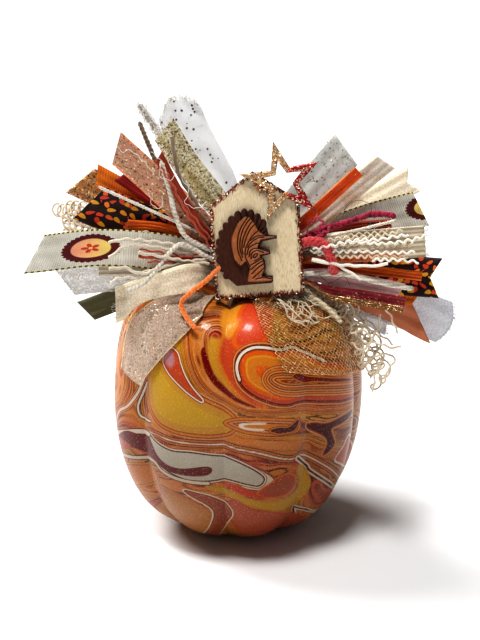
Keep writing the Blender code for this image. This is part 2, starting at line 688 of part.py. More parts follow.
def main():
    """Clears the scene and builds every piece."""
    for obj in list(bpy.data.objects):
        bpy.data.objects.remove(obj, do_unlink=True)
    make_pumpkin()
    make_stem()
    make_knot()
    make_house()
    make_star()
    make_hedgehog()
    for strip in LEFT_STRIPS + RIGHT_STRIPS:
        make_strip(strip)
    for cord in FAN_CORDS:
        make_fan_cord(cord)
    for drape in DRAPES:
        make_drape(drape)
    make_drape_cord("orange_cord", ((-26, 0.6, 3.6), (-34, 0.92, 3.6), (-38, 1.03, 3.6),
                                    (-28, 1.08, 3.6), (-20, 1.14, 3.6)), 2.4, ORANGE)
    make_drape_cord("jute_twine", ((68, 0.88, 3.6), (60, 0.98, 3.6), (55, 1.08, 3.6),
                                   (60, 1.2, 3.6)), 2.8, (0.55, 0.44, 0.30))


main()
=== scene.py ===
"""Dresses the craft pumpkin: marbled paint, layered bow, twines, wooden tags, floor and light.

Lengths are millimetres in the dataclasses and become metres where a mesh is made.
The front looks along -Y, +Z is up and the pumpkin stands on the floor at the origin.
"""
from __future__ import annotations

import logging
import math
from collections.abc import Callable, Sequence
from dataclasses import dataclass
from enum import Enum
from functools import cache
from random import Random

import bmesh
import bpy
import numpy as np
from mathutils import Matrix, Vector, noise
from mathutils.geometry import delaunay_2d_cdt

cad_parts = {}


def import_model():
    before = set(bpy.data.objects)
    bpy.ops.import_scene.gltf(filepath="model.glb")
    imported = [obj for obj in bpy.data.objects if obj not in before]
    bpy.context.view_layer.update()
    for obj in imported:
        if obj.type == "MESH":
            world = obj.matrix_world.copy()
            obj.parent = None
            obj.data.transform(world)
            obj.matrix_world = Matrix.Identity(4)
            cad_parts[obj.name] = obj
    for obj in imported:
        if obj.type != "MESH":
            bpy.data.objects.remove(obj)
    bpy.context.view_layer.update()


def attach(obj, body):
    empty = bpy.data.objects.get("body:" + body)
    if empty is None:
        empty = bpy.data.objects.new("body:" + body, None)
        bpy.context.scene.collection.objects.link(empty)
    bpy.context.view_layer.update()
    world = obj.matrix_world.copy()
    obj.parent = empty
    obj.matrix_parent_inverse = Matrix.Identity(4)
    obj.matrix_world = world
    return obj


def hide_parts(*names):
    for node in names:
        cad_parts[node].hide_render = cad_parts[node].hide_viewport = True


LOG = logging.getLogger("craft_pumpkin")
MM = 0.001
NEARLY_NOTHING = 1e-9
# The bow's middle in pixels of the front view, and what a pixel spans there in millimetres
BOW_MIDDLE = (257.0, 262.0)
PIXEL_ACROSS = 0.475
PIXEL_UP = 0.478
# How far inside and outside its outline a pool of paint may have rings, in millimetres
RING_REACH = (-11.0, 5.0)
Colour = tuple[float, float, float, float]
Place = tuple[float, float]
Socket = bpy.types.NodeSocket


def paint(red: int, green: int, blue: int) -> Colour:
    """Turns a colour as a screen shows it into the shader's linear numbers.

    Args:
        red: The red share, 0 to 255.
        green: The green share.
        blue: The blue share.

    Returns:
        The linear colour with full cover.
    """
    linear = []
    for share in (red / 255, green / 255, blue / 255):
        linear.append(share / 12.92 if share <= 0.04045 else ((share + 0.055) / 1.055) ** 2.4)
    return linear[0], linear[1], linear[2], 1.0


ORANGE = paint(230, 146, 50)
BRIGHT_ORANGE = paint(238, 114, 26)
RED_ORANGE = paint(226, 84, 32)
OCHRE = paint(220, 166, 58)
GOLD_PAINT = paint(224, 182, 44)
RUST = paint(158, 66, 26)
PEACH = paint(228, 160, 104)
CORAL = paint(208, 92, 54)
DUSTY_ROSE = paint(192, 106, 74)
BURGUNDY = paint(128, 8, 4)
DARK_WINE = paint(94, 6, 4)
SHELL_WHITE = paint(248, 240, 230)
SILVER_PAINT = paint(218, 222, 220)
LAVENDER = paint(208, 156, 168)
TAN = paint(206, 150, 86)
SALMON = paint(208, 116, 88)
YELLOW_ORANGE = paint(240, 168, 58)
BROWN_ORANGE = paint(210, 134, 62)


class NodeBench:
    """Lays out the nodes of one material."""

    def __init__(self, name: str) -> None:
        """Starts a material with its own shader.

        Args:
            name: The material's name.
        """
        self.material = bpy.data.materials.new(name)
        self.material.use_nodes = True
        self.tree = self.material.node_tree
        self.shader = self.tree.nodes["Principled BSDF"]

    def feed(self, socket: Socket, value: object) -> None:
        """Links a socket to another node's output, or sets its own value.

        Args:
            socket: The socket to feed.
            value: An output, or the value itself.
        """
        if isinstance(value, bpy.types.NodeSocket):
            self.tree.links.new(value, socket)
        else:
            socket.default_value = value

    def add(self, kind: str, inputs: dict | None = None, **settings: object) -> bpy.types.Node:
        """Adds a node.

        Args:
            kind: The node's type.
            inputs: What its sockets take, by name or number.
            **settings: The node's own settings.

        Returns:
            The new node.
        """
        node = self.tree.nodes.new(kind)
        for key, value in settings.items():
            setattr(node, key, value)
        for key, value in (inputs or {}).items():
            self.feed(node.inputs[key], value)
        return node

    def dress(self, **values: object) -> None:
        """Sets or links the shader's sockets, whose names have spaces for underscores."""
        for key, value in values.items():
            self.feed(self.shader.inputs[key.replace("_", " ")], value)

    def math(self, operation: str, first: object, second: object = 0.0) -> Socket:
        """Works out one sum.

        Args:
            operation: The node's operation.
            first: The first number or socket.
            second: The second number or socket.

        Returns:
            The socket with the result.
        """
        return self.add("ShaderNodeMath", {0: first, 1: second}, operation=operation).outputs[0]

    def times(self, first: object, second: object) -> Socket:
        """Multiplies two numbers."""
        return self.math("MULTIPLY", first, second)

    def plus(self, first: object, second: object) -> Socket:
        """Adds two numbers."""
        return self.math("ADD", first, second)

    def most(self, first: object, second: object) -> Socket:
        """Takes the larger of two numbers."""
        return self.math("MAXIMUM", first, second)

    def span(self, value: Socket, low: float, high: float, start: float = 0.0,
             end: float = 1.0) -> Socket:
        """Maps a stretch of numbers onto another and holds its ends.

        Args:
            value: The number to map.
            low: Where the stretch begins.
            high: Where it ends.
            start: What low becomes.
            end: What high becomes.

        Returns:
            The socket with the result.
        """
        inputs = {0: value, 1: low, 2: high, 3: start, 4: end}
        return self.add("ShaderNodeMapRange", inputs).outputs[0]

    def mix(self, share: object, first: object, second: object, blend: str = "MIX") -> Socket:
        """Mixes two colours.

        Args:
            share: How much of the second there is.
            first: The colour below.
            second: The colour above.
            blend: How they mix.

        Returns:
            The socket with the mixed colour.
        """
        inputs = {0: share, 6: first, 7: second}
        return self.add("ShaderNodeMix", inputs, data_type="RGBA", blend_type=blend).outputs[2]

    def ramp(self, value: Socket, stops: Sequence[tuple[float, Colour]]) -> bpy.types.Node:
        """Reads a colour from a row of stops.

        Args:
            value: The place in the row, 0 to 1.
            stops: Places and colours in rising order.

        Returns:
            The ramp node.
        """
        node = self.add("ShaderNodeValToRGB", {0: value})
        elements = node.color_ramp.elements
        elements[0].position, elements[0].color = stops[0]
        elements[1].position, elements[1].color = stops[-1]
        for place, colour in stops[1:-1]:
            elements.new(place).color = colour
        return node

    def object_place(self) -> Socket:
        """Gives the place on the object, in metres."""
        return self.add("ShaderNodeTexCoord").outputs["Object"]

    def number(self, name: str) -> Socket:
        """Reads one of the mesh's own numbers."""
        return self.add("ShaderNodeAttribute", attribute_name=name).outputs["Fac"]

    def parts(self, vector: Socket) -> Sequence[Socket]:
        """Splits a place into its three numbers."""
        return self.add("ShaderNodeSeparateXYZ", {0: vector}).outputs

    def sparks(self, size: float) -> Sequence[Socket]:
        """Gives three chance numbers, 0 to 1, for each cell of the object of about the size."""
        colour = self.cells(self.object_place(), size).outputs["Color"]
        return self.add("ShaderNodeSeparateColor", {0: colour}).outputs

    def upright(self, share: float) -> Socket:
        """Gives the place on the object with its height cut to a share, for upright grain."""
        inputs = {"Vector": self.object_place(), "Scale": (1.0, 1.0, share)}
        return self.add("ShaderNodeMapping", inputs).outputs[0]

    def noise(self, vector: Socket, size: float, detail: float = 3.0) -> Socket:
        """Gives smooth noise.

        Args:
            vector: Where it is read.
            size: The size of its patches, in the vector's units.
            detail: How many finer layers it has.

        Returns:
            The socket with the noise, 0 to 1.
        """
        inputs = {"Vector": vector, "Scale": 1 / size, "Detail": detail}
        return self.add("ShaderNodeTexNoise", inputs).outputs[0]

    def cells(self, vector: Socket, size: float) -> bpy.types.Node:
        """Splits space into cells of about the given size."""
        return self.add("ShaderNodeTexVoronoi", {"Vector": vector, "Scale": 1 / size})

    def waves(self, value: Socket, pitch: float) -> Socket:
        """Gives a wave, 0 to 1, that repeats at each pitch of a number."""
        turn = self.times(value, math.tau / pitch)
        return self.span(self.math("SINE", turn), -1.0, 1.0)

    def bump(self, height: Socket, depth: float, strength: float = 1.0) -> None:
        """Gives the shader a relief.

        Args:
            height: The relief's height, 0 to 1.
            depth: Its depth in millimetres.
            strength: How much of it shows.
        """
        inputs = {"Height": height, "Distance": depth * MM, "Strength": strength}
        self.dress(Normal=self.add("ShaderNodeBump", inputs).outputs[0])


def bent(a: Vector, b: Vector, c: Vector, d: Vector, t: float) -> Vector:
    """Gives the point at a share from b to c of the smooth curve through four points."""
    bend = (a * 2 - b * 5 + c * 4 - d) * t**2 + (b * 3 - a - c * 3 + d) * t**3
    return (b * 2 + (c - a) * t + bend) * 0.5


def smooth_curve(points: Sequence[Sequence[float]], count: int) -> list[Vector]:
    """Reads evenly numbered points from a smooth curve through the given ones.

    Args:
        points: The places that the curve goes through, flat ones at no height.
        count: How many points to read.

    Returns:
        The points, the first and last given ones at the ends.
    """
    route = [Vector((*point, 0.0)[:3]) for point in points]
    route = [route[0] * 2 - route[1]] + route + [route[-1] * 2 - route[-2]]
    spans = len(points) - 1
    result = []
    for k in range(count):
        place = k / (count - 1) * spans
        i = min(int(place), spans - 1)
        result.append(bent(*route[i:i + 4], place - i))
    return result


def even_curve(points: Sequence[Sequence[float]], spacing: float) -> list[Vector]:
    """Reads points a set distance apart from the smooth curve through the given ones.

    Args:
        points: The places that the curve goes through.
        spacing: The distance between two points, in the curve's units.

    Returns:
        The points.
    """
    rough = smooth_curve(points, 16 * len(points))
    steps = [(b - a).length for a, b in zip(rough, rough[1:])]
    walked = np.concatenate(([0.0], np.cumsum(steps)))
    count = max(int(walked[-1] / spacing), 4)
    wanted = np.linspace(0.0, walked[-1], count + 1)
    axes = [np.interp(wanted, walked, [point[axis] for point in rough]) for axis in range(3)]
    return [Vector(place) for place in zip(*axes)]


def curve_length(points: Sequence[Vector]) -> float:
    """Adds up the lengths of a curve's steps."""
    return sum((b - a).length for a, b in zip(points, points[1:]))


def heading(points: Sequence[Vector], k: int) -> Vector:
    """Gives the direction of a line at one of its points."""
    return (points[min(k + 1, len(points) - 1)] - points[max(k - 1, 0)]).normalized()


def closed_line(corners: Sequence[Vector]) -> np.ndarray:
    """Gives the corners of a flat line as numbers, with the first one again at its end."""
    return np.array([corner[:2] for corner in (*corners, corners[0])])


def line_distance(spots: np.ndarray, line: np.ndarray) -> np.ndarray:
    """Measures each spot's distance from a line.

    Args:
        spots: The spots, one row each.
        line: The line's corners, one row each.

    Returns:
        The distances.
    """
    best = np.full(len(spots), np.inf)
    for start, end in zip(line, line[1:]):
        along = end - start
        share = np.clip((spots - start) @ along / (float(along @ along) + NEARLY_NOTHING), 0, 1)
        gap = spots - start - share[:, None] * along
        best = np.minimum(best, np.einsum("ij,ij->i", gap, gap))
    return np.sqrt(best)


def within(spots: np.ndarray, line: np.ndarray) -> np.ndarray:
    """Says which flat spots lie inside a closed line.

    Args:
        spots: The spots, one row each.
        line: The line's corners, the first one again at its end.

    Returns:
        True for each spot inside.
    """
    result = np.zeros(len(spots), bool)
    across, up = spots.T
    for (x0, y0), (x1, y1) in zip(line, line[1:]):
        crossing = x0 + (up - y0) * (x1 - x0) / (y1 - y0 or NEARLY_NOTHING)
        result ^= ((y0 > up) != (y1 > up)) & (across < crossing)
    return result


@dataclass
class PumpkinSkin:
    """The pumpkin's lobed skin, by azimuth in degrees and level.

    The level is 0 at the stem, 1 at the ring of lobe crests and 2 at the flat foot. From 0 to
    -1 it crosses the dimple's floor, and from 2 to 3 the underside of the foot.
    """

    widest_radius: float = 63.0
    widest_height: float = 68.0
    upper_height: float = 58.0
    lower_power: float = 0.59
    upper_power: float = 0.36
    flat_radius: float = 22.0
    crest_radius: float = 30.0
    dimple_radius: float = 8.5
    dimple_depth: float = 13.0
    grooves: tuple[float, ...] = (-86, -47, -6, 33, 73, 113, 153, 193, 233)
    groove_depth: float = 3.3
    groove_sharpness: float = 2.2
    chart_level: float = 100.0

    def __post_init__(self) -> None:
        """Works out the angles at the crest and the foot, and the heights that follow."""
        crest = (self.crest_radius / self.widest_radius) ** (1 / self.upper_power)
        foot = (self.flat_radius / self.widest_radius) ** (1 / self.lower_power)
        self.crest_angle = math.acos(crest)
        self.foot_angle = -math.acos(foot)
        self.crest_height = self.widest_height + self.upper_height * math.sin(self.crest_angle)
        self.floor_height = float(np.mean(self.point(np.arange(0, 360, 5.0), 0.0)[:, 2]))

    def groove_share(self, azimuth: np.ndarray) -> np.ndarray:
        """Says how far an azimuth is into a groove, 1 at the crease and 0 at a crest.

        Args:
            azimuth: The azimuths in degrees.

        Returns:
            The shares.
        """
        edges = np.array([*self.grooves, self.grooves[0] + 360.0]) - self.grooves[0]
        turn = np.mod(np.asarray(azimuth, float) - self.grooves[0], 360.0)
        lobe = np.clip(np.searchsorted(edges, turn, side="right") - 1, 0, len(edges) - 2)
        place = (turn - edges[lobe]) / (edges[lobe + 1] - edges[lobe])
        return (1 - np.minimum(place, 1 - place) * 2) ** self.groove_sharpness

    def profile(self, q: np.ndarray) -> tuple[np.ndarray, np.ndarray]:
        """Gives the body's radius and height at a level from 0 to 2.

        Args:
            q: The levels.

        Returns:
            The radii and the heights.
        """
        q = np.asarray(q, float)
        rise = 0.5 - 0.5 * np.cos(np.pi * np.clip(q, 0, 1))
        inner_radius = self.dimple_radius + (self.crest_radius - self.dimple_radius) * q
        inner_height = self.crest_height - self.dimple_depth * (1 - rise)
        angle = self.crest_angle + (self.foot_angle - self.crest_angle) * np.clip(q - 1, 0, 1)
        power = np.where(angle > 0, self.upper_power, self.lower_power)
        low = self.widest_height / math.sin(-self.foot_angle)
        reach = np.where(angle > 0, self.upper_height, low)
        radius = self.widest_radius * np.cos(angle) ** power
        height = self.widest_height + reach * np.sin(angle)
        return np.where(q < 1, inner_radius, radius), np.where(q < 1, inner_height, height)

    def point(self, azimuth: np.ndarray, q: np.ndarray, lift: float = 0.0,
              grooved: bool = True) -> np.ndarray:
        """Gives points on the skin.

        Args:
            azimuth: The azimuths, 0 at the front and rising towards +X.
            q: The levels, 0 to 2.
            lift: How far above the skin the points are.
            grooved: Whether the points follow the grooves.

        Returns:
            The points, one row each.
        """
        azimuth, q = np.broadcast_arrays(np.asarray(azimuth, float), np.asarray(q, float))
        step = 0.004
        radius, height = self.profile(q)
        r_before, z_before = self.profile(np.maximum(q - step, 0))
        r_after, z_after = self.profile(np.minimum(q + step, 2))
        size = np.hypot(r_after - r_before, z_after - z_before)
        out = -(z_after - z_before) / size
        up = (r_after - r_before) / size
        fade = np.minimum(1, np.minimum(np.maximum(0, 2 - q) / 0.13, (q + 0.12) / 0.5))
        depth = self.groove_depth * self.groove_share(azimuth) * np.maximum(fade, 0)
        inward = (depth if grooved else 0.0) - lift
        radius = radius - inward * out
        height = height - inward * up
        turn = np.radians(azimuth)
        return np.stack((radius * np.sin(turn), -radius * np.cos(turn), height), axis=-1)

    def closed_point(self, azimuth: np.ndarray, q: np.ndarray) -> np.ndarray:
        """Gives points on the skin, its dimple's floor or its underside, levels -1 to 3.

        Args:
            azimuth: The azimuths in degrees.
            q: The levels.

        Returns:
            The points, one row each.
        """
        place = self.point(azimuth, np.clip(q, 0, 2))
        place[..., 2] = np.where(q >= 2, 0.0, place[..., 2])
        inner = np.clip(-q, 0, 1)[..., None]
        under = np.clip(q - 2, 0, 1)[..., None]
        place = place * (1 - inner) + np.array((0, 0, self.floor_height)) * inner
        return place * (1 - under)

    def chart(self, azimuth: np.ndarray, q: np.ndarray) -> np.ndarray:
        """Lays places of the skin out flat: round its girth in millimetres, and down its levels."""
        return np.stack((np.radians(azimuth) * self.widest_radius, q * self.chart_level), axis=-1)

    def height_at(self, x: float, y: float) -> float:
        """Gives the height of the top at a place, with the grooves left out.

        Args:
            x: How far right the place is.
            y: How far back it is.

        Returns:
            The height, or minus infinity beside the pumpkin.
        """
        radius = math.hypot(x, y)
        if radius >= self.widest_radius - 0.5:
            return -math.inf
        if radius < self.crest_radius:
            width = self.crest_radius - self.dimple_radius
            share = max(radius - self.dimple_radius, 0) / width
            return self.crest_height - self.dimple_depth * (0.5 + 0.5 * math.cos(math.pi * share))
        angle = math.acos((radius / self.widest_radius) ** (1 / self.upper_power))
        return self.widest_height + self.upper_height * math.sin(angle)


SKIN = PumpkinSkin()


@dataclass(frozen=True)
class BowFrame:
    """The bow's own frame: across and up in its leaning plane, and out towards the front."""

    centre: tuple[float, float, float] = (9.5, -8.0, 137.5)
    lean: float = math.radians(15)
    view_distance: float = 615.0
    layer_step: float = 2.2
    fan_start: float = 20.0
    fan_spread: float = 50.0
    skin_clearance: float = 2.4
    skin_step: float = 0.7
    lowest_layer: float = -5.0

    @property
    def up(self) -> Vector:
        """The direction that the bow's plane calls up."""
        return Vector((0, math.sin(self.lean), math.cos(self.lean)))

    @property
    def out(self) -> Vector:
        """The direction out of the bow's plane, towards the front."""
        return Vector((0, -math.cos(self.lean), math.sin(self.lean)))

    @staticmethod
    def from_pixel(pixel: Place) -> tuple[float, float, float]:
        """Gives the place (across, up, 0) in the bow's plane that a pixel of the front view shows."""
        across = (pixel[0] - BOW_MIDDLE[0]) * PIXEL_ACROSS
        return across, (BOW_MIDDLE[1] - pixel[1]) * PIXEL_UP, 0.0

    def plain(self, across: float, up: float, out: float) -> Vector:
        """Gives a point of the frame, at its true size."""
        return Vector(self.centre) + Vector((across, 0, 0)) + self.up * up + self.out * out

    def point(self, across: float, up: float, out: float) -> Vector:
        """Gives a point of the frame that is as large, seen from the front, as at no depth."""
        size = 1 - out / self.view_distance
        return self.plain(across * size, up * size, out)

    def fan(self, across: float, up: float, layer: float, ripple: float = 0.0) -> Vector:
        """Gives a point of the fan.

        Args:
            across: How far right of the bow's middle.
            up: How far up in the bow's plane.
            layer: The layer's number; the layers part as they leave the knot.
            ripple: How far the point stands proud of its layer.

        Returns:
            The point, lifted over the pumpkin's shoulder where it would touch it.
        """
        reach = max(math.hypot(across, up) - self.fan_start, 0)
        depth = layer * self.layer_step * (1 + reach / self.fan_spread)
        place = self.point(across, up, depth + ripple)
        ground = SKIN.height_at(place.x, place.y)
        if ground > 0:
            floor = ground + self.skin_clearance + self.skin_step * (layer - self.lowest_layer)
            gap = place.z - floor
            place.z = floor + 0.5 * (gap + math.hypot(gap, 1.5))
        return place


BOW = BowFrame()


def placed(name: str, data: bpy.types.ID) -> bpy.types.Object:
    """Makes an object of the data and puts it in the scene.

    Args:
        name: The object's name.
        data: Its mesh, curve, light or camera.

    Returns:
        The object.
    """
    obj = bpy.data.objects.new(name, data)
    bpy.context.collection.objects.link(obj)
    return obj


def weld(bm: bmesh.types.BMesh, gap: float) -> None:
    """Joins the points that meet, closes open rims and turns the faces outwards.

    Args:
        bm: The mesh.
        gap: How near two points are to be joined.
    """
    bmesh.ops.remove_doubles(bm, verts=bm.verts, dist=gap)
    rims = [edge for edge in bm.edges if edge.is_boundary]
    if rims:
        bmesh.ops.holes_fill(bm, edges=rims)
    bmesh.ops.recalc_face_normals(bm, faces=bm.faces)


class PieceMaker:
    """Turns meshes and curves into pieces of the object, and counts them."""

    def __init__(self) -> None:
        """Starts with no pieces."""
        self.made: list[str] = []

    def keep(self, obj: bpy.types.Object, material: bpy.types.Material, slot: str,
             *nodes: str) -> bpy.types.Object:
        """Dresses a finished object and hands it to the frame.

        Args:
            obj: The object, in place.
            material: Its finish.
            slot: Not used.
            *nodes: The plain solids that it stands for.

        Returns:
            The same object.
        """
        obj.data.materials.clear()
        obj.data.materials.append(material)
        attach(obj, "root")
        if nodes:
            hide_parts(*nodes)
        self.made.append(obj.name)
        return obj

    @staticmethod
    def mesh(name: str, bm: bmesh.types.BMesh, smooth: bool = True,
             sharp: float = 0.0) -> bpy.types.Object:
        """Makes an object of a mesh that is in millimetres.

        Args:
            name: The object's name.
            bm: The mesh, which is freed.
            smooth: Whether its faces are shaded smooth.
            sharp: The angle in degrees past which an edge stays sharp, or 0.

        Returns:
            The object, in metres.
        """
        bmesh.ops.scale(bm, vec=(MM, MM, MM), verts=bm.verts)
        mesh = bpy.data.meshes.new(name)
        bm.to_mesh(mesh)
        bm.free()
        if smooth:
            mesh.shade_smooth()
        if sharp:
            mesh.set_sharp_from_angle(angle=math.radians(sharp))
        return placed(name, mesh)

    @staticmethod
    def threads(name: str, routes: Sequence[Sequence[Vector]], radius: float,
                sides: int = 0) -> bpy.types.Object:
        """Makes one mesh of many thin round threads.

        Args:
            name: The object's name.
            routes: Each thread's points, in millimetres.
            radius: The threads' radius in millimetres.
            sides: The curve's bevel resolution, 0 for four sides.

        Returns:
            The object, in metres.
        """
        curve = bpy.data.curves.new(name + "_line", "CURVE")
        curve.dimensions = "3D"
        curve.bevel_depth = radius * MM
        curve.bevel_resolution = sides
        curve.use_fill_caps = True
        for route in routes:
            spline = curve.splines.new("POLY")
            spline.points.add(len(route) - 1)
            flat = [value for point in route for value in (*(Vector(point) * MM), 1.0)]
            spline.points.foreach_set("co", flat)
        source = placed(name + "_line", curve)
        bpy.context.view_layer.update()
        graph = bpy.context.evaluated_depsgraph_get()
        mesh = bpy.data.meshes.new_from_object(source.evaluated_get(graph))
        bpy.data.objects.remove(source)
        bpy.data.curves.remove(curve)
        mesh.name = name
        mesh.shade_smooth()
        return placed(name, mesh)


MAKER = PieceMaker()
# Where the lamps point, in metres
LAMP_AIM = Vector((0, 0, 0.09))


def grid(columns: int, rows: int, place: Callable[[float, float], Vector]) -> bmesh.types.BMesh:
    """Bends a flat grid into a surface.

    Args:
        columns: The number of faces across.
        rows: The number of faces along.
        place: Gives the point for a share across and a share along, each 0 to 1.

    Returns:
        The bent grid, with its shares kept in the layers share_across and share_along.
    """
    bm = bmesh.new()
    across = bm.verts.layers.float.new("share_across")
    along = bm.verts.layers.float.new("share_along")
    bmesh.ops.create_grid(bm, x_segments=columns, y_segments=rows, size=0.5)
    for vert in bm.verts:
        vert[across] = vert.co.x + 0.5
        vert[along] = vert.co.y + 0.5
        vert.co = place(vert[across], vert[along])
    return bm


@dataclass(frozen=True)
class FrontView:
    """The photograph's view: where the camera stands and what its frame takes in."""

    width: int = 480
    height: int = 640
    target: tuple[float, float, float] = (0.0, 0.0, 68.0)
    distance: float = 650.0
    elevation: float = math.radians(22)
    frame_height: float = 322.9
    middle: Place = (237.0, 391.8)

    def project(self, points: np.ndarray) -> np.ndarray:
        """Gives the picture's pixels, right and down, of points in millimetres.

        Args:
            points: The points, one row each.

        Returns:
            The pixels, one row each.
        """
        rise = math.sin(self.elevation)
        run = math.cos(self.elevation)
        place = np.asarray(points, float) - np.array(self.target)
        depth = self.distance + place[..., 1] * run - place[..., 2] * rise
        scale = self.height / self.frame_height * self.distance / depth
        right = self.middle[0] + place[..., 0] * scale
        down = self.middle[1] - (place[..., 1] * rise + place[..., 2] * run) * scale
        return np.stack((right, down), axis=-1)

    def skin_place(self, pixel: Place) -> Place:
        """Finds the azimuth and level of the skin that shows at a pixel.

        Args:
            pixel: The pixel, right and down.

        Returns:
            The azimuth in degrees, held to the front half, and the level.
        """
        wanted = np.array(pixel)
        azimuths, levels = np.meshgrid(np.arange(-84, 85, 6.0), np.arange(0.82, 1.97, 0.06))
        miss = self.project(SKIN.point(azimuths, levels)) - wanted
        best = np.argmin(np.hypot(miss[..., 0], miss[..., 1]))
        guess = np.array((azimuths.flat[best], levels.flat[best]))
        steps = np.array((0.5, 0.006))
        for _ in range(8):
            trial = guess + np.array(((0, 0), (steps[0], 0), (0, steps[1])))
            seen = self.project(SKIN.point(trial[:, 0], trial[:, 1], grooved=False))
            slopes = np.stack(((seen[1] - seen[0]) / steps[0], (seen[2] - seen[0]) / steps[1]), 1)
            slopes += np.eye(2) * 1e-4
            move = np.linalg.solve(slopes, wanted - seen[0])
            guess = guess + np.clip(move, (-5, -0.06), (5, 0.06))
            guess = np.clip(guess, (-89, 0.7), (89, 1.99))
        return float(guess[0]), float(guess[1])

    def camera(self) -> bpy.types.Object:
        """Sets up the camera.

        Returns:
            The camera.
        """
        data = bpy.data.cameras.new("photo_camera")
        data.sensor_width = 36.0
        data.lens = data.sensor_width * self.distance / self.frame_height
        data.shift_x = (self.width / 2 - self.middle[0]) / self.height
        data.shift_y = (self.middle[1] - self.height / 2) / self.height
        camera = placed("photo_camera", data)
        back = Vector((0, -math.cos(self.elevation), math.sin(self.elevation)))
        camera.location = (Vector(self.target) + back * self.distance) * MM
        camera.rotation_euler = (math.pi / 2 - self.elevation, 0, 0)
        bpy.context.scene.camera = camera
        return camera


VIEW = FrontView()


@dataclass(frozen=True)
class Pool:
    """A closed patch of paint with rings of other paints along its edge.

    The outline is in pixels of the front view. Each ring reaches out to its distance from the
    outline, in millimetres, and a distance below 0 lies inside it. With a width, the outline
    is an open line and the paint runs along it that wide.
    """

    name: str
    outline: tuple[Place, ...]
    rings: tuple[tuple[float, Colour], ...]
    softness: float = 0.14
    width: float = 0.0


@dataclass(frozen=True)
class FlowLine:
    """A line that the streaks of paint follow, with the level of the streak that lies on it."""

    level: float
    route: tuple[Place, ...]


def thin_rings(inner: Colour, *rings: tuple[float, Colour]) -> tuple[tuple[float, Colour], ...]:
    """Gives a patch of one paint the rings that follow it outwards."""
    return ((0.0, inner), *rings)


FLOW_LINES = (
    FlowLine(0.5, ((214, 335), (216, 360), (222, 378), (236, 394), (258, 405), (300, 407), (358, 397))),
    FlowLine(2.0, ((196, 333), (199, 362), (208, 386), (232, 404), (262, 411), (300, 411), (360, 401))),
    FlowLine(8.0, ((178, 342), (184, 374), (198, 396), (229, 412), (262, 419), (310, 416), (364, 407))),
    FlowLine(12.0, ((146, 355), (142, 385), (144, 408), (155, 425), (174, 437), (200, 441), (228, 441),
         (262, 446), (300, 447), (322, 454), (340, 472))),
    FlowLine(16.0, ((112, 436), (150, 444), (190, 450), (226, 452), (262, 459), (300, 457), (318, 468),
         (332, 484))),
    FlowLine(14.0, ((141, 335), (137, 380), (130, 402), (116, 418))),
    FlowLine(18.0, ((126, 330), (122, 365), (119, 395), (111, 412))),
    FlowLine(22.0, ((110, 335), (106, 370), (106, 400))),
    FlowLine(19.0, ((120, 466), (150, 484), (190, 486), (230, 491), (262, 497), (292, 490))),
    FlowLine(22.0, ((146, 505), (180, 535), (220, 546), (262, 540), (300, 522), (326, 496))),
    FlowLine(9.5, ((300, 424), (330, 432), (350, 430))),
)

STREAK_COLOURS = (
    CORAL, BROWN_ORANGE, ORANGE, RUST, PEACH, ORANGE, BROWN_ORANGE, OCHRE, ORANGE, RUST, OCHRE, ORANGE,
    BROWN_ORANGE, OCHRE, ORANGE, CORAL, OCHRE, ORANGE, PEACH, ORANGE, OCHRE, BROWN_ORANGE, ORANGE, CORAL,
)

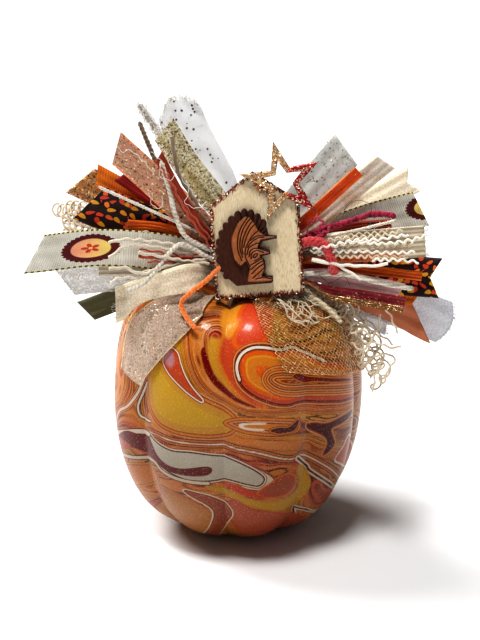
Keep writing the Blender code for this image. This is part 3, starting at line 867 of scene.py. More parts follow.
POOLS = (
    Pool("ochre_wash", ((211, 336), (223, 340), (222, 352), (220, 365), (225, 378), (238, 394),
         (226, 389), (215, 378), (210, 364), (208, 348)), thin_rings(OCHRE), 1.0),
    Pool("salmon_arm", ((229, 326), (222, 342), (220, 358), (225, 375), (236, 392), (252, 405),
         (264, 408), (250, 396), (241, 384), (236, 370), (237, 358), (243, 349), (254, 343), (264, 340),
         (262, 328), (250, 318), (238, 318)), thin_rings(paint(216, 92, 52), (1.6, ORANGE)), 0.8),
    Pool("yellow_crown", ((221, 320), (224, 306), (235, 300), (247, 304), (246, 318), (239, 329),
         (228, 336)), thin_rings(YELLOW_ORANGE), 1.0),
    Pool("red_crown", ((245, 304), (262, 306), (269, 328), (264, 342), (252, 342), (241, 346), (236, 338),
         (242, 322)), thin_rings(paint(226, 88, 48), (1.2, BRIGHT_ORANGE)), 1.0),
    Pool("swirl", ((236.5, 368), (238, 357), (243.5, 350), (253.5, 346), (266, 345.5), (281, 348),
         (294, 344), (303, 346), (313, 351), (325, 358), (345, 362), (366, 366), (368, 396), (345, 400),
         (331, 401), (303, 403), (290, 406), (276, 405), (257, 398), (244, 389), (238, 380)),
         ((-9.0, BRIGHT_ORANGE), (-5.2, ORANGE), (-4.2, YELLOW_ORANGE), (-2.4, BRIGHT_ORANGE),
         (-0.5, CORAL), (0.0, DARK_WINE), (0.9, RUST), (1.6, PEACH), (1.9, RUST))),
    Pool("swirl_rings", ((261, 377), (266, 369), (276, 365), (290, 365), (310, 367), (345, 372),
         (368, 376), (368, 392), (330, 396), (300, 399), (280, 397), (268, 391), (262, 384)),
         ((-7.4, PEACH), (-6.9, RUST), (-6.2, ORANGE), (-5.8, DARK_WINE), (-5.0, PEACH), (-4.6, RUST),
         (-3.8, BROWN_ORANGE), (-3.4, DARK_WINE), (-2.7, PEACH), (-2.3, RUST), (-1.5, ORANGE),
         (-1.15, RUST), (-0.35, PEACH), (0.0, RUST))),
    Pool("swirl_tongue", ((294, 377), (298, 374), (304, 374), (311, 377), (325, 377.5), (350, 378),
         (354, 380), (330, 381.2), (316, 381.5), (309, 383.5), (301, 381)), thin_rings(BURGUNDY,
         (0.5, ORANGE), (0.8, RUST))),
    Pool("swirl_white", ((326, 360.7), (313, 354), (303, 349), (294, 346), (281, 349.4), (266, 347.3),
         (253.5, 347.3), (244, 352), (238.5, 360.3), (237, 370), (239.3, 380.5)), thin_rings(SHELL_WHITE,
         (0.5, DARK_WINE)), 0.14, 1.3),
    Pool("long_band", ((146, 432), (159, 435.5), (175, 441.5), (200, 444.5), (223, 447), (236, 450.5),
         (261, 454), (294, 458.5), (302, 455), (314, 459), (328, 467), (338, 475), (336, 484)),
         thin_rings(SHELL_WHITE, (0.45, RUST), (1.3, BROWN_ORANGE), (1.7, DARK_WINE)), 0.14, 0.9),
    Pool("gold_lake", ((147, 368), (156, 361), (165, 366), (174, 379), (187, 391.5), (203, 403),
         (220, 412), (232, 420), (234, 428), (224, 435), (196, 434), (174, 429), (158, 420), (149, 407),
         (145, 390)), ((-3.5, GOLD_PAINT), (0.0, OCHRE), (0.5, RUST), (1.7, ORANGE), (2.1, DARK_WINE),
         (2.9, PEACH)), 0.2),
    Pool("coral_wedge", ((170, 349), (177, 353), (180, 364), (184, 376), (191, 389), (201, 402),
         (190, 394), (178, 382), (168, 370), (163, 359)), thin_rings(CORAL, (0.4, RUST),
         (1.0, SHELL_WHITE), (1.4, RUST))),
    Pool("lavender_light", ((163, 357), (169, 350), (174, 355), (174, 363), (169, 366)),
         thin_rings(LAVENDER), 0.9),
    Pool("teardrop", ((202, 351), (204.5, 347), (206.5, 354), (208.5, 362), (211, 371), (216, 381),
         (225, 391), (237, 400), (255, 408), (236, 402.5), (222, 394), (212, 384), (206, 373),
         (203, 361)), thin_rings(BURGUNDY, (0.4, RUST))),
    Pool("chevron_nest", ((221, 425), (232, 419.5), (250, 418), (285, 419), (302, 421), (301, 432),
         (280, 437), (250, 436), (232, 431)), ((-3.0, ORANGE), (-2.6, DARK_WINE), (-1.8, PEACH),
         (-1.4, RUST), (-0.4, ORANGE), (0.0, RUST))),
    Pool("chevron_white", ((238, 427), (245, 424), (266, 423.5), (266, 425.5), (248, 426), (243.5, 427.5),
         (248, 429), (264, 430), (264, 432), (246, 431)), thin_rings(SHELL_WHITE)),
    Pool("chevron_arrow", ((271, 431.5), (280, 428.5), (290, 428), (301, 420), (297, 430), (286, 433.5),
         (278, 434)), thin_rings(DARK_WINE, (0.5, ORANGE), (0.9, RUST))),
    Pool("ink_spill", ((311, 426), (318, 424), (328, 424), (340, 418), (353, 410), (353, 413), (341, 423),
         (332, 428), (333, 436), (335, 443), (331, 450), (325, 455), (329, 445), (328, 438), (321, 433),
         (313, 430)), thin_rings(DARK_WINE, (0.5, RUST), (1.3, PEACH))),
    Pool("side_flag", ((335, 459), (343, 446), (352, 433), (350, 450), (344, 468), (339, 464)),
         ((-1.1, CORAL), (0.0, SHELL_WHITE), (0.4, RUST))),
    Pool("white_cap", ((232, 464), (252, 467), (266, 472.5), (275, 480), (269, 488.5), (256, 490),
         (238, 486)), thin_rings(SHELL_WHITE, (0.4, DARK_WINE), (1.2, CORAL))),
    Pool("silver_pool", ((147, 436), (153, 441), (161, 446.5), (174, 452), (192, 454), (214, 458.5),
         (229, 462), (244, 467), (257, 472.5), (264, 478.5), (259, 485), (248, 484.5), (229, 482.5),
         (211, 482.5), (189, 479.7), (174, 474), (163, 467), (154, 457), (148, 443)),
         thin_rings(SILVER_PAINT, (0.75, DARK_WINE), (1.5, SHELL_WHITE), (1.9, RUST))),
    Pool("white_band_left", ((104, 417), (111, 421), (118, 427), (130, 432.5), (146, 435.5)),
         thin_rings(SHELL_WHITE, (0.5, DARK_WINE)), 0.14, 2.3),
    Pool("wine_patch", ((110, 424), (124, 431.5), (136, 436), (146, 438), (150, 444), (156, 455),
         (166, 464), (180, 468.5), (200, 468), (208, 469), (210.5, 472.5), (207, 476.5), (196, 477),
         (176, 473.5), (162, 468), (152, 460), (146, 457), (132, 449), (116, 436)), thin_rings(BURGUNDY)),
    Pool("coral_corner", ((110, 430), (119, 437), (130, 448), (124, 449.5), (114, 445)),
         thin_rings(CORAL)),
    Pool("dark_oval", ((126, 457.5), (137, 456), (148, 459), (147, 462), (136, 462), (128, 461)),
         ((-0.7, PEACH), (0.0, DARK_WINE))),
    Pool("stripe_long", ((142, 340), (142, 359), (141, 370), (138, 382), (133.5, 394.5), (126, 406),
         (118, 413), (108, 419)), thin_rings(SHELL_WHITE, (0.4, RUST), (1.0, PEACH), (1.4, RUST)), 0.14,
         1.4),
    Pool("stripe_hook", ((142, 382), (138, 394), (134.5, 406), (136, 416), (142, 420.5), (148, 421.5)),
         thin_rings(SHELL_WHITE, (0.5, DARK_WINE)), 0.14, 1.2),
    Pool("edge_line", ((300, 458), (310.5, 468), (319.5, 477), (324, 489), (320, 499), (310.5, 505),
         (296, 511.5), (284.5, 522.5), (269, 532.5), (254, 538)), thin_rings(DARK_WINE,
         (0.9, SHELL_WHITE), (1.3, RUST)), 0.14, 1.1),
    Pool("gold_band", ((203, 487), (215, 490), (229, 494.5), (250, 500), (270, 502.5), (288, 500),
         (300, 492), (303, 482), (299, 472), (303, 466), (310, 472), (313, 486), (307, 498), (296, 508),
         (277, 512), (257, 508.5), (229, 501), (212, 494)), ((-0.7, GOLD_PAINT), (0.3, OCHRE)), 0.3),
    Pool("rose_pocket", ((258, 493), (272, 483), (284, 475), (296, 477), (296, 488), (286, 496),
         (270, 498)), ((-1.6, DUSTY_ROSE), (0.0, CORAL), (0.8, ORANGE)), 0.4),
    Pool("red_wash", ((222, 486), (240, 488), (256, 493), (266, 499), (250, 498), (232, 493)),
         thin_rings(RED_ORANGE), 0.7),
    Pool("salmon_floor", ((233, 503), (255, 512), (280, 515), (294, 511), (289, 520), (276, 530),
         (255, 534), (236, 529), (229, 516)), thin_rings(SALMON, (0.8, CORAL)), 0.5),
    Pool("tan_lobe", ((158, 486), (172, 490), (186, 497), (203, 508), (215, 520), (214, 532), (203, 543),
         (190, 545), (176, 534), (166, 512), (159, 498)), ((-3.2, TAN), (-2.8, BROWN_ORANGE), (0.0,
         paint(204, 142, 78)), (0.4, RUST))),
    Pool("rose_drop", ((184, 490), (205, 497), (222, 507), (231, 516), (227, 525), (214, 538), (203, 546),
         (210, 528), (214, 516), (205, 505)), ((-1.0, paint(176, 96, 72)), (0.0, DUSTY_ROSE),
         (0.45, DARK_WINE), (1.2, SHELL_WHITE))),
    Pool("orange_patch", ((126, 466), (140, 467), (152, 473), (155, 481), (146, 486), (132, 482)),
         thin_rings(paint(226, 148, 70), (0.4, RUST), (1.4, OCHRE), (1.7, RUST))),
    Pool("squiggle", ((140, 496), (150, 500), (160, 504), (161, 508), (156, 511), (154, 518), (146, 510)),
         thin_rings(paint(196, 96, 70), (0.5, DARK_WINE))),
    Pool("white_low_left", ((106, 441), (112, 446), (122, 452), (134, 458.5), (151, 461.7), (160, 470),
         (176, 478), (206, 485)), thin_rings(SHELL_WHITE, (0.45, DARK_WINE)), 0.14, 1.7),
)


@dataclass
class Pumpkin:
    """The lobed body, dipped in marbled paint and varnished.

    The paint of the front goes on round the back, where it wanders further and is turned and
    dropped a little.
    """

    columns: int = 400
    rows: int = 236
    front_crowding: float = 24.0
    level_top: float = 24.0
    pool_reach: float = 14.0
    pull_power: float = 2.2
    pull_softness: float = 0.3
    swirl_size: float = 26.0
    front_wander: float = 0.5
    back_wander: float = 11.0
    back_depth: float = 40.0
    back_turn: float = 24.0
    back_drop: float = 0.09
    seed: float = 7.3

    def build(self) -> bpy.types.Object:
        """Makes the skin, paints it and puts it in the solid's place.

        Returns:
            The finished skin.
        """
        bm = bmesh.new()
        bmesh.ops.create_uvsphere(bm, u_segments=self.columns, v_segments=self.rows, radius=1.0)
        mesh = bpy.data.meshes.new("pumpkin_skin")
        bm.to_mesh(mesh)
        bm.free()
        count = len(mesh.vertices)
        ball = np.empty(count * 3)
        mesh.vertices.foreach_get("co", ball)
        ball = ball.reshape(-1, 3)
        turn = np.arctan2(ball[:, 0], -ball[:, 1])
        azimuth = np.degrees(turn) - self.front_crowding * np.sin(turn)
        share = np.arccos(np.clip(ball[:, 2], -1, 1)) / np.pi
        level = self.level_at(share)
        place = SKIN.closed_point(azimuth, level)
        mesh.vertices.foreach_set("co", (place * MM).ravel())
        mesh.shade_smooth()
        self.pour(mesh, azimuth, np.clip(level, 0.05, 2.0), place)
        return MAKER.keep(placed("pumpkin_skin", mesh), self.finish(), "marbled_paint", "pumpkin")

    def level_at(self, share: np.ndarray) -> np.ndarray:
        """Spreads the rows evenly along the skin, from the dimple's middle to the foot's.

        Args:
            share: The rows' shares of the way, 0 to 1.

        Returns:
            Their levels.
        """
        levels = np.linspace(-1, 3, 1601)
        line = SKIN.closed_point(np.full_like(levels, 13.0), levels)
        steps = np.linalg.norm(np.diff(line, axis=0), axis=1)
        walked = np.concatenate(([0.0], np.cumsum(steps)))
        return np.interp(share * walked[-1], walked, levels)

    def smooth_noise(self, place: np.ndarray, size: float, shift: float) -> np.ndarray:
        """Gives smooth noise, about -1 to 1, at points in millimetres."""
        offset = Vector((shift, shift * 0.7, self.seed))
        return np.array([noise.noise(Vector(point) / size + offset) for point in place])

    def pour(self, mesh: bpy.types.Mesh, azimuth: np.ndarray, level: np.ndarray,
             place: np.ndarray) -> None:
        """Works out the paints' attributes: the streaks' level and each pool's distance.

        Args:
            mesh: The skin's mesh.
            azimuth: The vertices' azimuths.
            level: Their levels.
            place: Their places in millimetres.
        """
        facing = np.degrees(np.arctan2(place[:, 0], np.abs(place[:, 1])))
        behind = np.clip(place[:, 1] / self.back_depth, 0, 1)
        wander = self.front_wander + self.back_wander * behind
        turn = facing + self.smooth_noise(place, self.swirl_size, 1.0) * wander * 1.6
        turn += self.back_turn * behind
        drop = level + self.smooth_noise(place, self.swirl_size, 9.0) * wander * 0.012
        drop = np.clip(drop + self.back_drop * behind, 0.05, 2.0)
        spot = SKIN.point(turn, drop, grooved=False)
        chart = SKIN.chart(turn, drop)
        self.store(mesh, "streak", self.streaks(spot) / self.level_top)
        for pool in POOLS:
            self.store(mesh, pool.name, self.distance(pool, spot, chart))

    @staticmethod
    def store(mesh: bpy.types.Mesh, name: str, values: np.ndarray) -> None:
        """Keeps one number for each vertex under a name."""
        attribute = mesh.attributes.new(name, "FLOAT", "POINT")
        attribute.data.foreach_set("value", values.astype(np.float32))

    @staticmethod
    def trace(route: Sequence[Place], closed: bool) -> tuple[np.ndarray, np.ndarray]:
        """Carries a line in the front view onto the skin.

        Args:
            route: The line's pixels.
            closed: Whether its end joins its start.

        Returns:
            The line's points in millimetres, and the same on the flattened skin.
        """
        places = [VIEW.skin_place(pixel) for pixel in route]
        if closed:
            looped = places[-2:] + places + places[:3]
            whole = smooth_curve(looped, 4 * (len(looped) - 1) + 1)
            dense = whole[8:8 + 4 * len(places)]
            dense.append(dense[0])
        else:
            dense = smooth_curve(places, 4 * (len(places) - 1) + 1)
        turn = np.array([point.x for point in dense])
        drop = np.clip([point.y for point in dense], 0.05, 1.999)
        return SKIN.point(turn, drop, grooved=False), SKIN.chart(turn, drop)

    def distance(self, pool: Pool, spot: np.ndarray, chart: np.ndarray) -> np.ndarray:
        """Gives each point's distance outside a pool's outline, below 0 inside it.

        Args:
            pool: The pool.
            spot: The points in millimetres.
            chart: The same points on the flattened skin.

        Returns:
            The distances in millimetres.
        """
        line, flat = self.trace(pool.outline, not pool.width)
        middle = line.mean(axis=0)
        reach = np.linalg.norm(line - middle, axis=1).max() + self.pool_reach
        near = np.flatnonzero(np.linalg.norm(spot - middle, axis=1) < reach)
        result = np.full(len(spot), self.pool_reach)
        gap = line_distance(spot[near], line)
        if pool.width:
            result[near] = gap - pool.width / 2
        else:
            result[near] = np.where(within(chart[near], flat), -gap, gap)
        return result

    def streaks(self, spot: np.ndarray) -> np.ndarray:
        """Gives the level of the streak at each point, read between the flow lines.

        Args:
            spot: The points in millimetres.

        Returns:
            The levels.
        """
        total = np.zeros(len(spot))
        weight = np.zeros(len(spot))
        for line in FLOW_LINES:
            far = line_distance(spot, self.trace(line.route, False)[0])
            pull = 1 / (far**self.pull_power + self.pull_softness)
            total += pull * line.level
            weight += pull
        wobble = self.smooth_noise(spot, 9.0, 21.0) * 0.35 + self.smooth_noise(spot, 30.0, 4.0) * 0.8
        return total / weight + wobble

    def finish(self) -> bpy.types.Material:
        """Makes the marbled paint: soft streaks, thin lines, the pools, flecks, painted shade towards the
        foot and varnish.

        Returns:
            The material.
        """
        bench = NodeBench("marbled_paint")
        place = bench.object_place()
        streak = bench.number("streak")
        count = len(STREAK_COLOURS)
        stops = [((k + 0.5) / count, colour) for k, colour in enumerate(STREAK_COLOURS)]
        colour = bench.ramp(streak, stops).outputs[0]
        layers = bench.times(streak, self.level_top)
        for shift, width, line_paint in ((0.0, 0.13, DARK_WINE), (0.37, 0.10, RUST),
                                         (0.66, 0.09, PEACH)):
            part = bench.math("FRACT", bench.plus(layers, shift))
            gap = bench.math("ABSOLUTE", bench.math("SUBTRACT", part, 0.5))
            patchy = bench.span(bench.noise(place, 0.016, 2.0), 0.35, 0.62, 0.25, 1.0)
            line = bench.times(bench.span(gap, width * 0.55, width, 1.0, 0.0), patchy)
            colour = bench.mix(line, colour, line_paint)
        for pool in POOLS:
            colour = self.lay(bench, colour, pool)
        grain = bench.noise(place, 0.0007, 2.0)
        colour = bench.mix(bench.span(grain, 0.3, 0.75, 0.0, 0.5), colour, paint(226, 206, 190), "MULTIPLY")
        spark = bench.span(bench.sparks(0.0003)[0], 0.96, 0.97)
        # Painted shade: the paint is multiplied darker towards the foot, and a little darker even at the
        # top.
        rise = bench.parts(place)[2]
        depth = bench.mix(bench.span(rise, 0.05, 0.12), paint(182, 168, 152), paint(242, 240, 234))
        colour = bench.mix(1.0, colour, depth, "MULTIPLY")
        colour = bench.mix(bench.times(spark, 0.25), colour, paint(255, 226, 170))
        bench.dress(Base_Color=colour, Roughness=0.38, Coat_Weight=0.2, Coat_Roughness=0.1,
                    Specular_IOR_Level=0.2)
        bench.bump(bench.noise(place, 0.0016, 2.0), 0.05, 0.5)
        return bench.material

    @staticmethod
    def lay(bench: NodeBench, below: Socket, pool: Pool) -> Socket:
        """Lays one pool over the paints below it.

        Args:
            bench: The material's nodes.
            below: The colour under the pool.
            pool: The pool.

        Returns:
            The socket with the colour of both.
        """
        low, high = RING_REACH
        width = high - low
        value = bench.span(bench.number(pool.name), low, high)
        soft = pool.softness / width
        clear = (*pool.rings[-1][1][:3], 0.0)
        paints = [ring[1] for ring in pool.rings] + [clear]
        stops = [(0.0, paints[0])]
        for (edge, inner), outer in zip(pool.rings, paints[1:]):
            place = (edge - low) / width
            stops += [(place - soft, inner), (place + soft, outer)]
        stops.append((1.0, clear))
        ramp = bench.ramp(value, stops)
        return bench.mix(ramp.outputs["Alpha"], below, ramp.outputs["Color"])


class Rib(Enum):
    """Which way a cloth's ribs or creases run."""

    NONE = "none"
    CROSSWISE = "crosswise"
    LENGTHWISE = "lengthwise"
    BOTH = "both"


class Print(Enum):
    """What is printed on a cloth."""

    PLAIN = "plain"
    DROPS = "drops"
    ROSETTE = "rosette"
    SPECKS = "specks"
    BLOTCHES = "blotches"


@dataclass(frozen=True)
class Cloth:
    """A woven, ribbed or netted finish. Lengths are millimetres."""

    name: str
    colour: Colour
    # The colour of the painted shade in the hollows and of the uneven tone.
    shade: Colour
    roughness: float = 0.75
    sheen: float = 0.3
    rib: Rib = Rib.NONE
    pitch: float = 0.9
    relief: float = 0.12
    cover: float = 1.0
    edge: Colour | None = None
    edge_width: float = 0.9
    edge_dash: float = 0.0
    glitter: float = 0.0
    glitter_colour: Colour = (1.0, 0.8, 0.45, 1.0)
    printed: Print = Print.PLAIN
    metallic: float = 0.0
    rosette_at: float = 0.0

    @cache
    def make(self) -> bpy.types.Material:
        """Makes the cloth's material, once.

        Returns:
            The material.
        """
        bench = NodeBench(self.name)
        place = bench.object_place()
        measures = bench.add("ShaderNodeAttribute", attribute_name="cloth")
        across, along, edge = bench.parts(measures.outputs["Vector"])
        weave = bench.noise(place, 0.0012, 4.0)
        height = weave
        if self.rib in (Rib.CROSSWISE, Rib.BOTH):
            height = bench.times(bench.waves(along, self.pitch), 0.8)
        if self.rib in (Rib.LENGTHWISE, Rib.BOTH):
            length_ribs = bench.waves(across, self.pitch)
            height = bench.times(length_ribs, height) if self.rib is Rib.BOTH else length_ribs
        uneven = bench.noise(place, 0.009, 3.0)
        # Painted shade: darker in the hollows of the ribs and weave, mixed with random uneven tone.
        shade = bench.plus(bench.times(bench.span(height, 0, 1, 0.6, 0), 0.7),
                           bench.span(uneven, 0.35, 0.75, 0.0, 0.5))
        colour = bench.mix(shade, self.colour, self.shade)
        if self.printed is Print.DROPS:
            colour = self.drops(bench, colour, across, along)
        if self.printed is Print.ROSETTE:
            colour = self.rosette(bench, colour, across, along)
        if self.printed is Print.BLOTCHES:
            blot = bench.span(bench.noise(place, 0.0045, 2.0), 0.5, 0.6, 0.0, 0.55)
            colour = bench.mix(blot, colour, paint(196, 160, 128))
        alpha: object = self.cover
        if self.printed is Print.SPECKS:
            spot = bench.cells(place, 0.0030)
            speck = bench.span(spot.outputs["Distance"], 0.18, 0.22, 1.0, 0.0)
            colour = bench.mix(speck, colour, paint(70, 66, 70))
            alpha = bench.most(self.cover, speck)
        if self.edge:
            border = bench.span(edge, self.edge_width * 0.8, self.edge_width, 1.0, 0.0)
            if self.edge_dash:
                dash = bench.span(bench.waves(along, self.edge_dash), 0.45, 0.55)
                rim = bench.mix(dash, self.edge, paint(66, 62, 34))
            else:
                rim = self.edge
            colour = bench.mix(border, colour, rim)
            if self.cover < 1:
                alpha = bench.most(alpha, border)
        if self.cover < 1 and self.printed is not Print.SPECKS:
            thread = bench.span(bench.noise(place, 0.0008, 2.0), 0.35, 0.65, -0.15, 0.25)
            alpha = bench.plus(alpha, thread)
        metal: object = self.metallic
        rough: object = self.roughness
        if self.glitter:
            flake = bench.sparks(0.0006)
            bright = bench.span(flake[0], 1 - self.glitter, 1 - self.glitter + 0.05)
            tone = bench.mix(flake[1], self.glitter_colour, paint(255, 240, 205))
            colour = bench.mix(bright, colour, bench.mix(flake[2], tone, paint(96, 66, 26)))
            metal = bench.times(bright, 0.6)
            rough = bench.span(bright, 0, 1, self.roughness, 0.3)
            height = bench.plus(height, bench.times(flake[1], bright))
            if self.cover < 1:
                alpha = bench.most(alpha, bench.times(bright, 0.9))
        bench.dress(Base_Color=colour, Roughness=rough, Metallic=metal, Sheen_Weight=self.sheen,
                    Sheen_Roughness=0.4, Specular_IOR_Level=0.35, Alpha=alpha)
        bench.bump(height, self.relief, 0.8)
        return bench.material

    @staticmethod
    def drops(bench: NodeBench, colour: Socket, across: Socket, along: Socket) -> Socket:
        """Prints scattered drops in reds and yellows.

        Args:
            bench: The material's nodes.
            colour: The ground's colour.
            across: The distance across the ribbon.
            along: The distance along it.

        Returns:
            The socket with the printed colour.
        """
        spot = bench.add("ShaderNodeCombineXYZ", {0: across, 1: along, 2: 0.0}).outputs[0]
        cell = bench.cells(spot, 4.4)
        cell.inputs["Randomness"].default_value = 0.6
        tone = bench.add("ShaderNodeSeparateColor", {0: cell.outputs["Color"]})
        gap = bench.add("ShaderNodeVectorMath", {0: spot, 1: cell.outputs["Position"]},
                        operation="SUBTRACT")
        local = bench.add("ShaderNodeVectorMath", {0: gap.outputs[0], 1: (1 / 4.4,) * 3},
                          operation="MULTIPLY")
        turn = bench.span(tone.outputs[0], 0, 1, -0.9, 0.9)
        turned = bench.add("ShaderNodeVectorRotate", {"Vector": local.outputs[0], "Angle": turn},
                           rotation_type="Z_AXIS")
        part = bench.parts(turned.outputs[0])
        taper = bench.span(part[1], -0.45, 0.45, 0.14, 0.30)
        wide = bench.math("DIVIDE", part[0], taper)
        tall = bench.math("DIVIDE", part[1], 0.46)
        size = bench.plus(bench.times(wide, wide), bench.times(tall, tall))
        mask = bench.span(size, 0.85, 1.0, 1.0, 0.0)
        inks = bench.ramp(tone.outputs[1], ((0.0, paint(196, 62, 40)), (0.38, paint(214, 84, 52)),
                                            (0.5, paint(226, 124, 52)), (0.62, paint(226, 168, 48)),
                                            (1.0, paint(206, 144, 40))))
        return bench.mix(mask, colour, inks.outputs[0])

    def rosette(self, bench: NodeBench, colour: Socket, across: Socket, along: Socket) -> Socket:
        """Prints one oval medallion with a scalloped rim and a small flower.

        Args:
            bench: The material's nodes.
            colour: The ground's colour.
            across: The distance across the ribbon.
            along: The distance along it.

        Returns:
            The socket with the printed colour.
        """
        x = bench.math("DIVIDE", bench.math("SUBTRACT", along, self.rosette_at), 13.0)
        y = bench.math("DIVIDE", across, 6.6)
        radius = bench.math("SQRT", bench.plus(bench.times(x, x), bench.times(y, y)))
        angle = bench.math("ARCTAN2", y, x)
        lobes = bench.math("ABSOLUTE", bench.math("SINE", bench.times(angle, 15.0)))
        rim = bench.math("SUBTRACT", radius, bench.times(lobes, 0.07))
        colour = bench.mix(bench.span(rim, 0.93, 0.96, 1.0, 0.0), colour, paint(92, 24, 26))
        inner = bench.mix(bench.span(x, -0.6, 0.5, 0.0, 1.0), paint(232, 206, 120), paint(230, 160, 128))
        colour = bench.mix(bench.span(radius, 0.66, 0.7, 1.0, 0.0), colour, inner)
        petals = bench.math("ABSOLUTE", bench.math("COSINE", bench.times(angle, 2.5)))
        flower = bench.math("SUBTRACT", radius, bench.times(petals, 0.26))
        colour = bench.mix(bench.span(flower, 0.06, 0.10, 1.0, 0.0), colour, paint(196, 62, 58))
        return bench.mix(bench.span(radius, 0.06, 0.09, 1.0, 0.0), colour, paint(236, 200, 96))


CLOTHS = {cloth.name: cloth for cloth in (
    Cloth("white_tulle", paint(234, 234, 234), paint(208, 208, 210), cover=0.6, printed=Print.SPECKS),
    Cloth("gold_tulle", paint(222, 214, 172), paint(184, 164, 96), cover=0.42, glitter=0.34,
         glitter_colour=paint(204, 176, 84)),
    Cloth("orange_ribbon", paint(238, 142, 38), paint(186, 84, 18), rib=Rib.CROSSWISE, pitch=1.1,
         relief=0.25),
    Cloth("orange_velvet", paint(224, 94, 34), paint(170, 56, 16), glitter=0.05,
         glitter_colour=paint(236, 170, 90), edge=paint(214, 126, 58), edge_width=0.5),
    Cloth("copper_satin", paint(216, 144, 106), paint(178, 100, 66), roughness=0.42, metallic=0.1),
    Cloth("copper_mesh", paint(212, 158, 134), paint(160, 112, 96), roughness=0.5, glitter=0.3,
         glitter_colour=paint(190, 150, 66), edge=paint(228, 152, 116), edge_width=1.2),
    Cloth("peach_glitter", paint(200, 140, 84), paint(150, 96, 44), glitter=0.55,
         glitter_colour=paint(176, 128, 40), edge=paint(232, 160, 128), edge_width=1.8),
    Cloth("burgundy_ribbon", paint(156, 26, 18), paint(92, 8, 8), roughness=0.55, rib=Rib.LENGTHWISE,
         pitch=1.6),
    Cloth("leaf_print", paint(48, 22, 16), paint(30, 12, 10), printed=Print.DROPS, roughness=0.5),
    Cloth("orange_satin", paint(232, 116, 30), paint(176, 70, 14), roughness=0.35),
    Cloth("motif_left_grosgrain", paint(228, 224, 212), paint(178, 172, 158), rib=Rib.CROSSWISE,
         pitch=1.0, relief=0.2, printed=Print.ROSETTE, rosette_at=72.0, edge=paint(212, 196, 128),
         edge_width=0.8, edge_dash=2.4),
    Cloth("motif_right_grosgrain", paint(228, 224, 212), paint(184, 178, 164), rib=Rib.CROSSWISE,
         pitch=1.0, relief=0.2, printed=Print.ROSETTE, rosette_at=76.0, edge=paint(206, 190, 122),
         edge_width=0.8, edge_dash=2.4),
    Cloth("cream_muslin", paint(216, 204, 184), paint(152, 136, 110), rib=Rib.LENGTHWISE, pitch=2.2,
         relief=0.5, roughness=0.9),
    Cloth("silver_organza", paint(206, 202, 196), paint(150, 146, 140), cover=0.55, rib=Rib.BOTH,
         pitch=0.9),
    Cloth("silver_satin", paint(210, 210, 204), paint(168, 168, 164), roughness=0.34, metallic=0.15,
         glitter=0.12, glitter_colour=paint(236, 236, 232)),
    Cloth("ivory_sheer", paint(246, 234, 212), paint(226, 208, 180), cover=0.76,
         edge=paint(250, 238, 208), edge_width=1.9, roughness=0.5),
    Cloth("ivory_print", paint(226, 216, 202), paint(200, 184, 164), cover=0.8, printed=Print.BLOTCHES,
         edge=paint(230, 214, 184), edge_width=0.8),
    Cloth("olive_ribbon", paint(96, 92, 62), paint(58, 54, 34), roughness=0.5),
    Cloth("olive_grey_ribbon", paint(128, 124, 108), paint(88, 84, 70), roughness=0.5),
    Cloth("rust_trim", paint(176, 72, 44), paint(110, 34, 22), rib=Rib.LENGTHWISE, pitch=1.1),
    Cloth("mauve_satin", paint(236, 208, 206), paint(178, 122, 126), roughness=0.32, metallic=0.05,
         rib=Rib.LENGTHWISE, pitch=2.6, relief=0.3),
    Cloth("burgundy_glitter", paint(206, 88, 96), paint(152, 46, 60), glitter=0.14,
         glitter_colour=paint(226, 136, 140), rib=Rib.BOTH, pitch=1.0),
    Cloth("gold_trim", paint(156, 108, 60), paint(92, 56, 30), glitter=0.36,
         glitter_colour=paint(206, 156, 84)),
    Cloth("grey_tulle", paint(214, 214, 219), paint(192, 192, 198), cover=0.82),
    Cloth("plain_tulle", paint(234, 234, 236), paint(208, 208, 212), cover=0.78),
    Cloth("speckled_organza", paint(220, 202, 186), paint(186, 162, 142), cover=0.42, glitter=0.12,
         glitter_colour=paint(230, 214, 190), edge=paint(214, 196, 164), edge_width=0.7),
)}


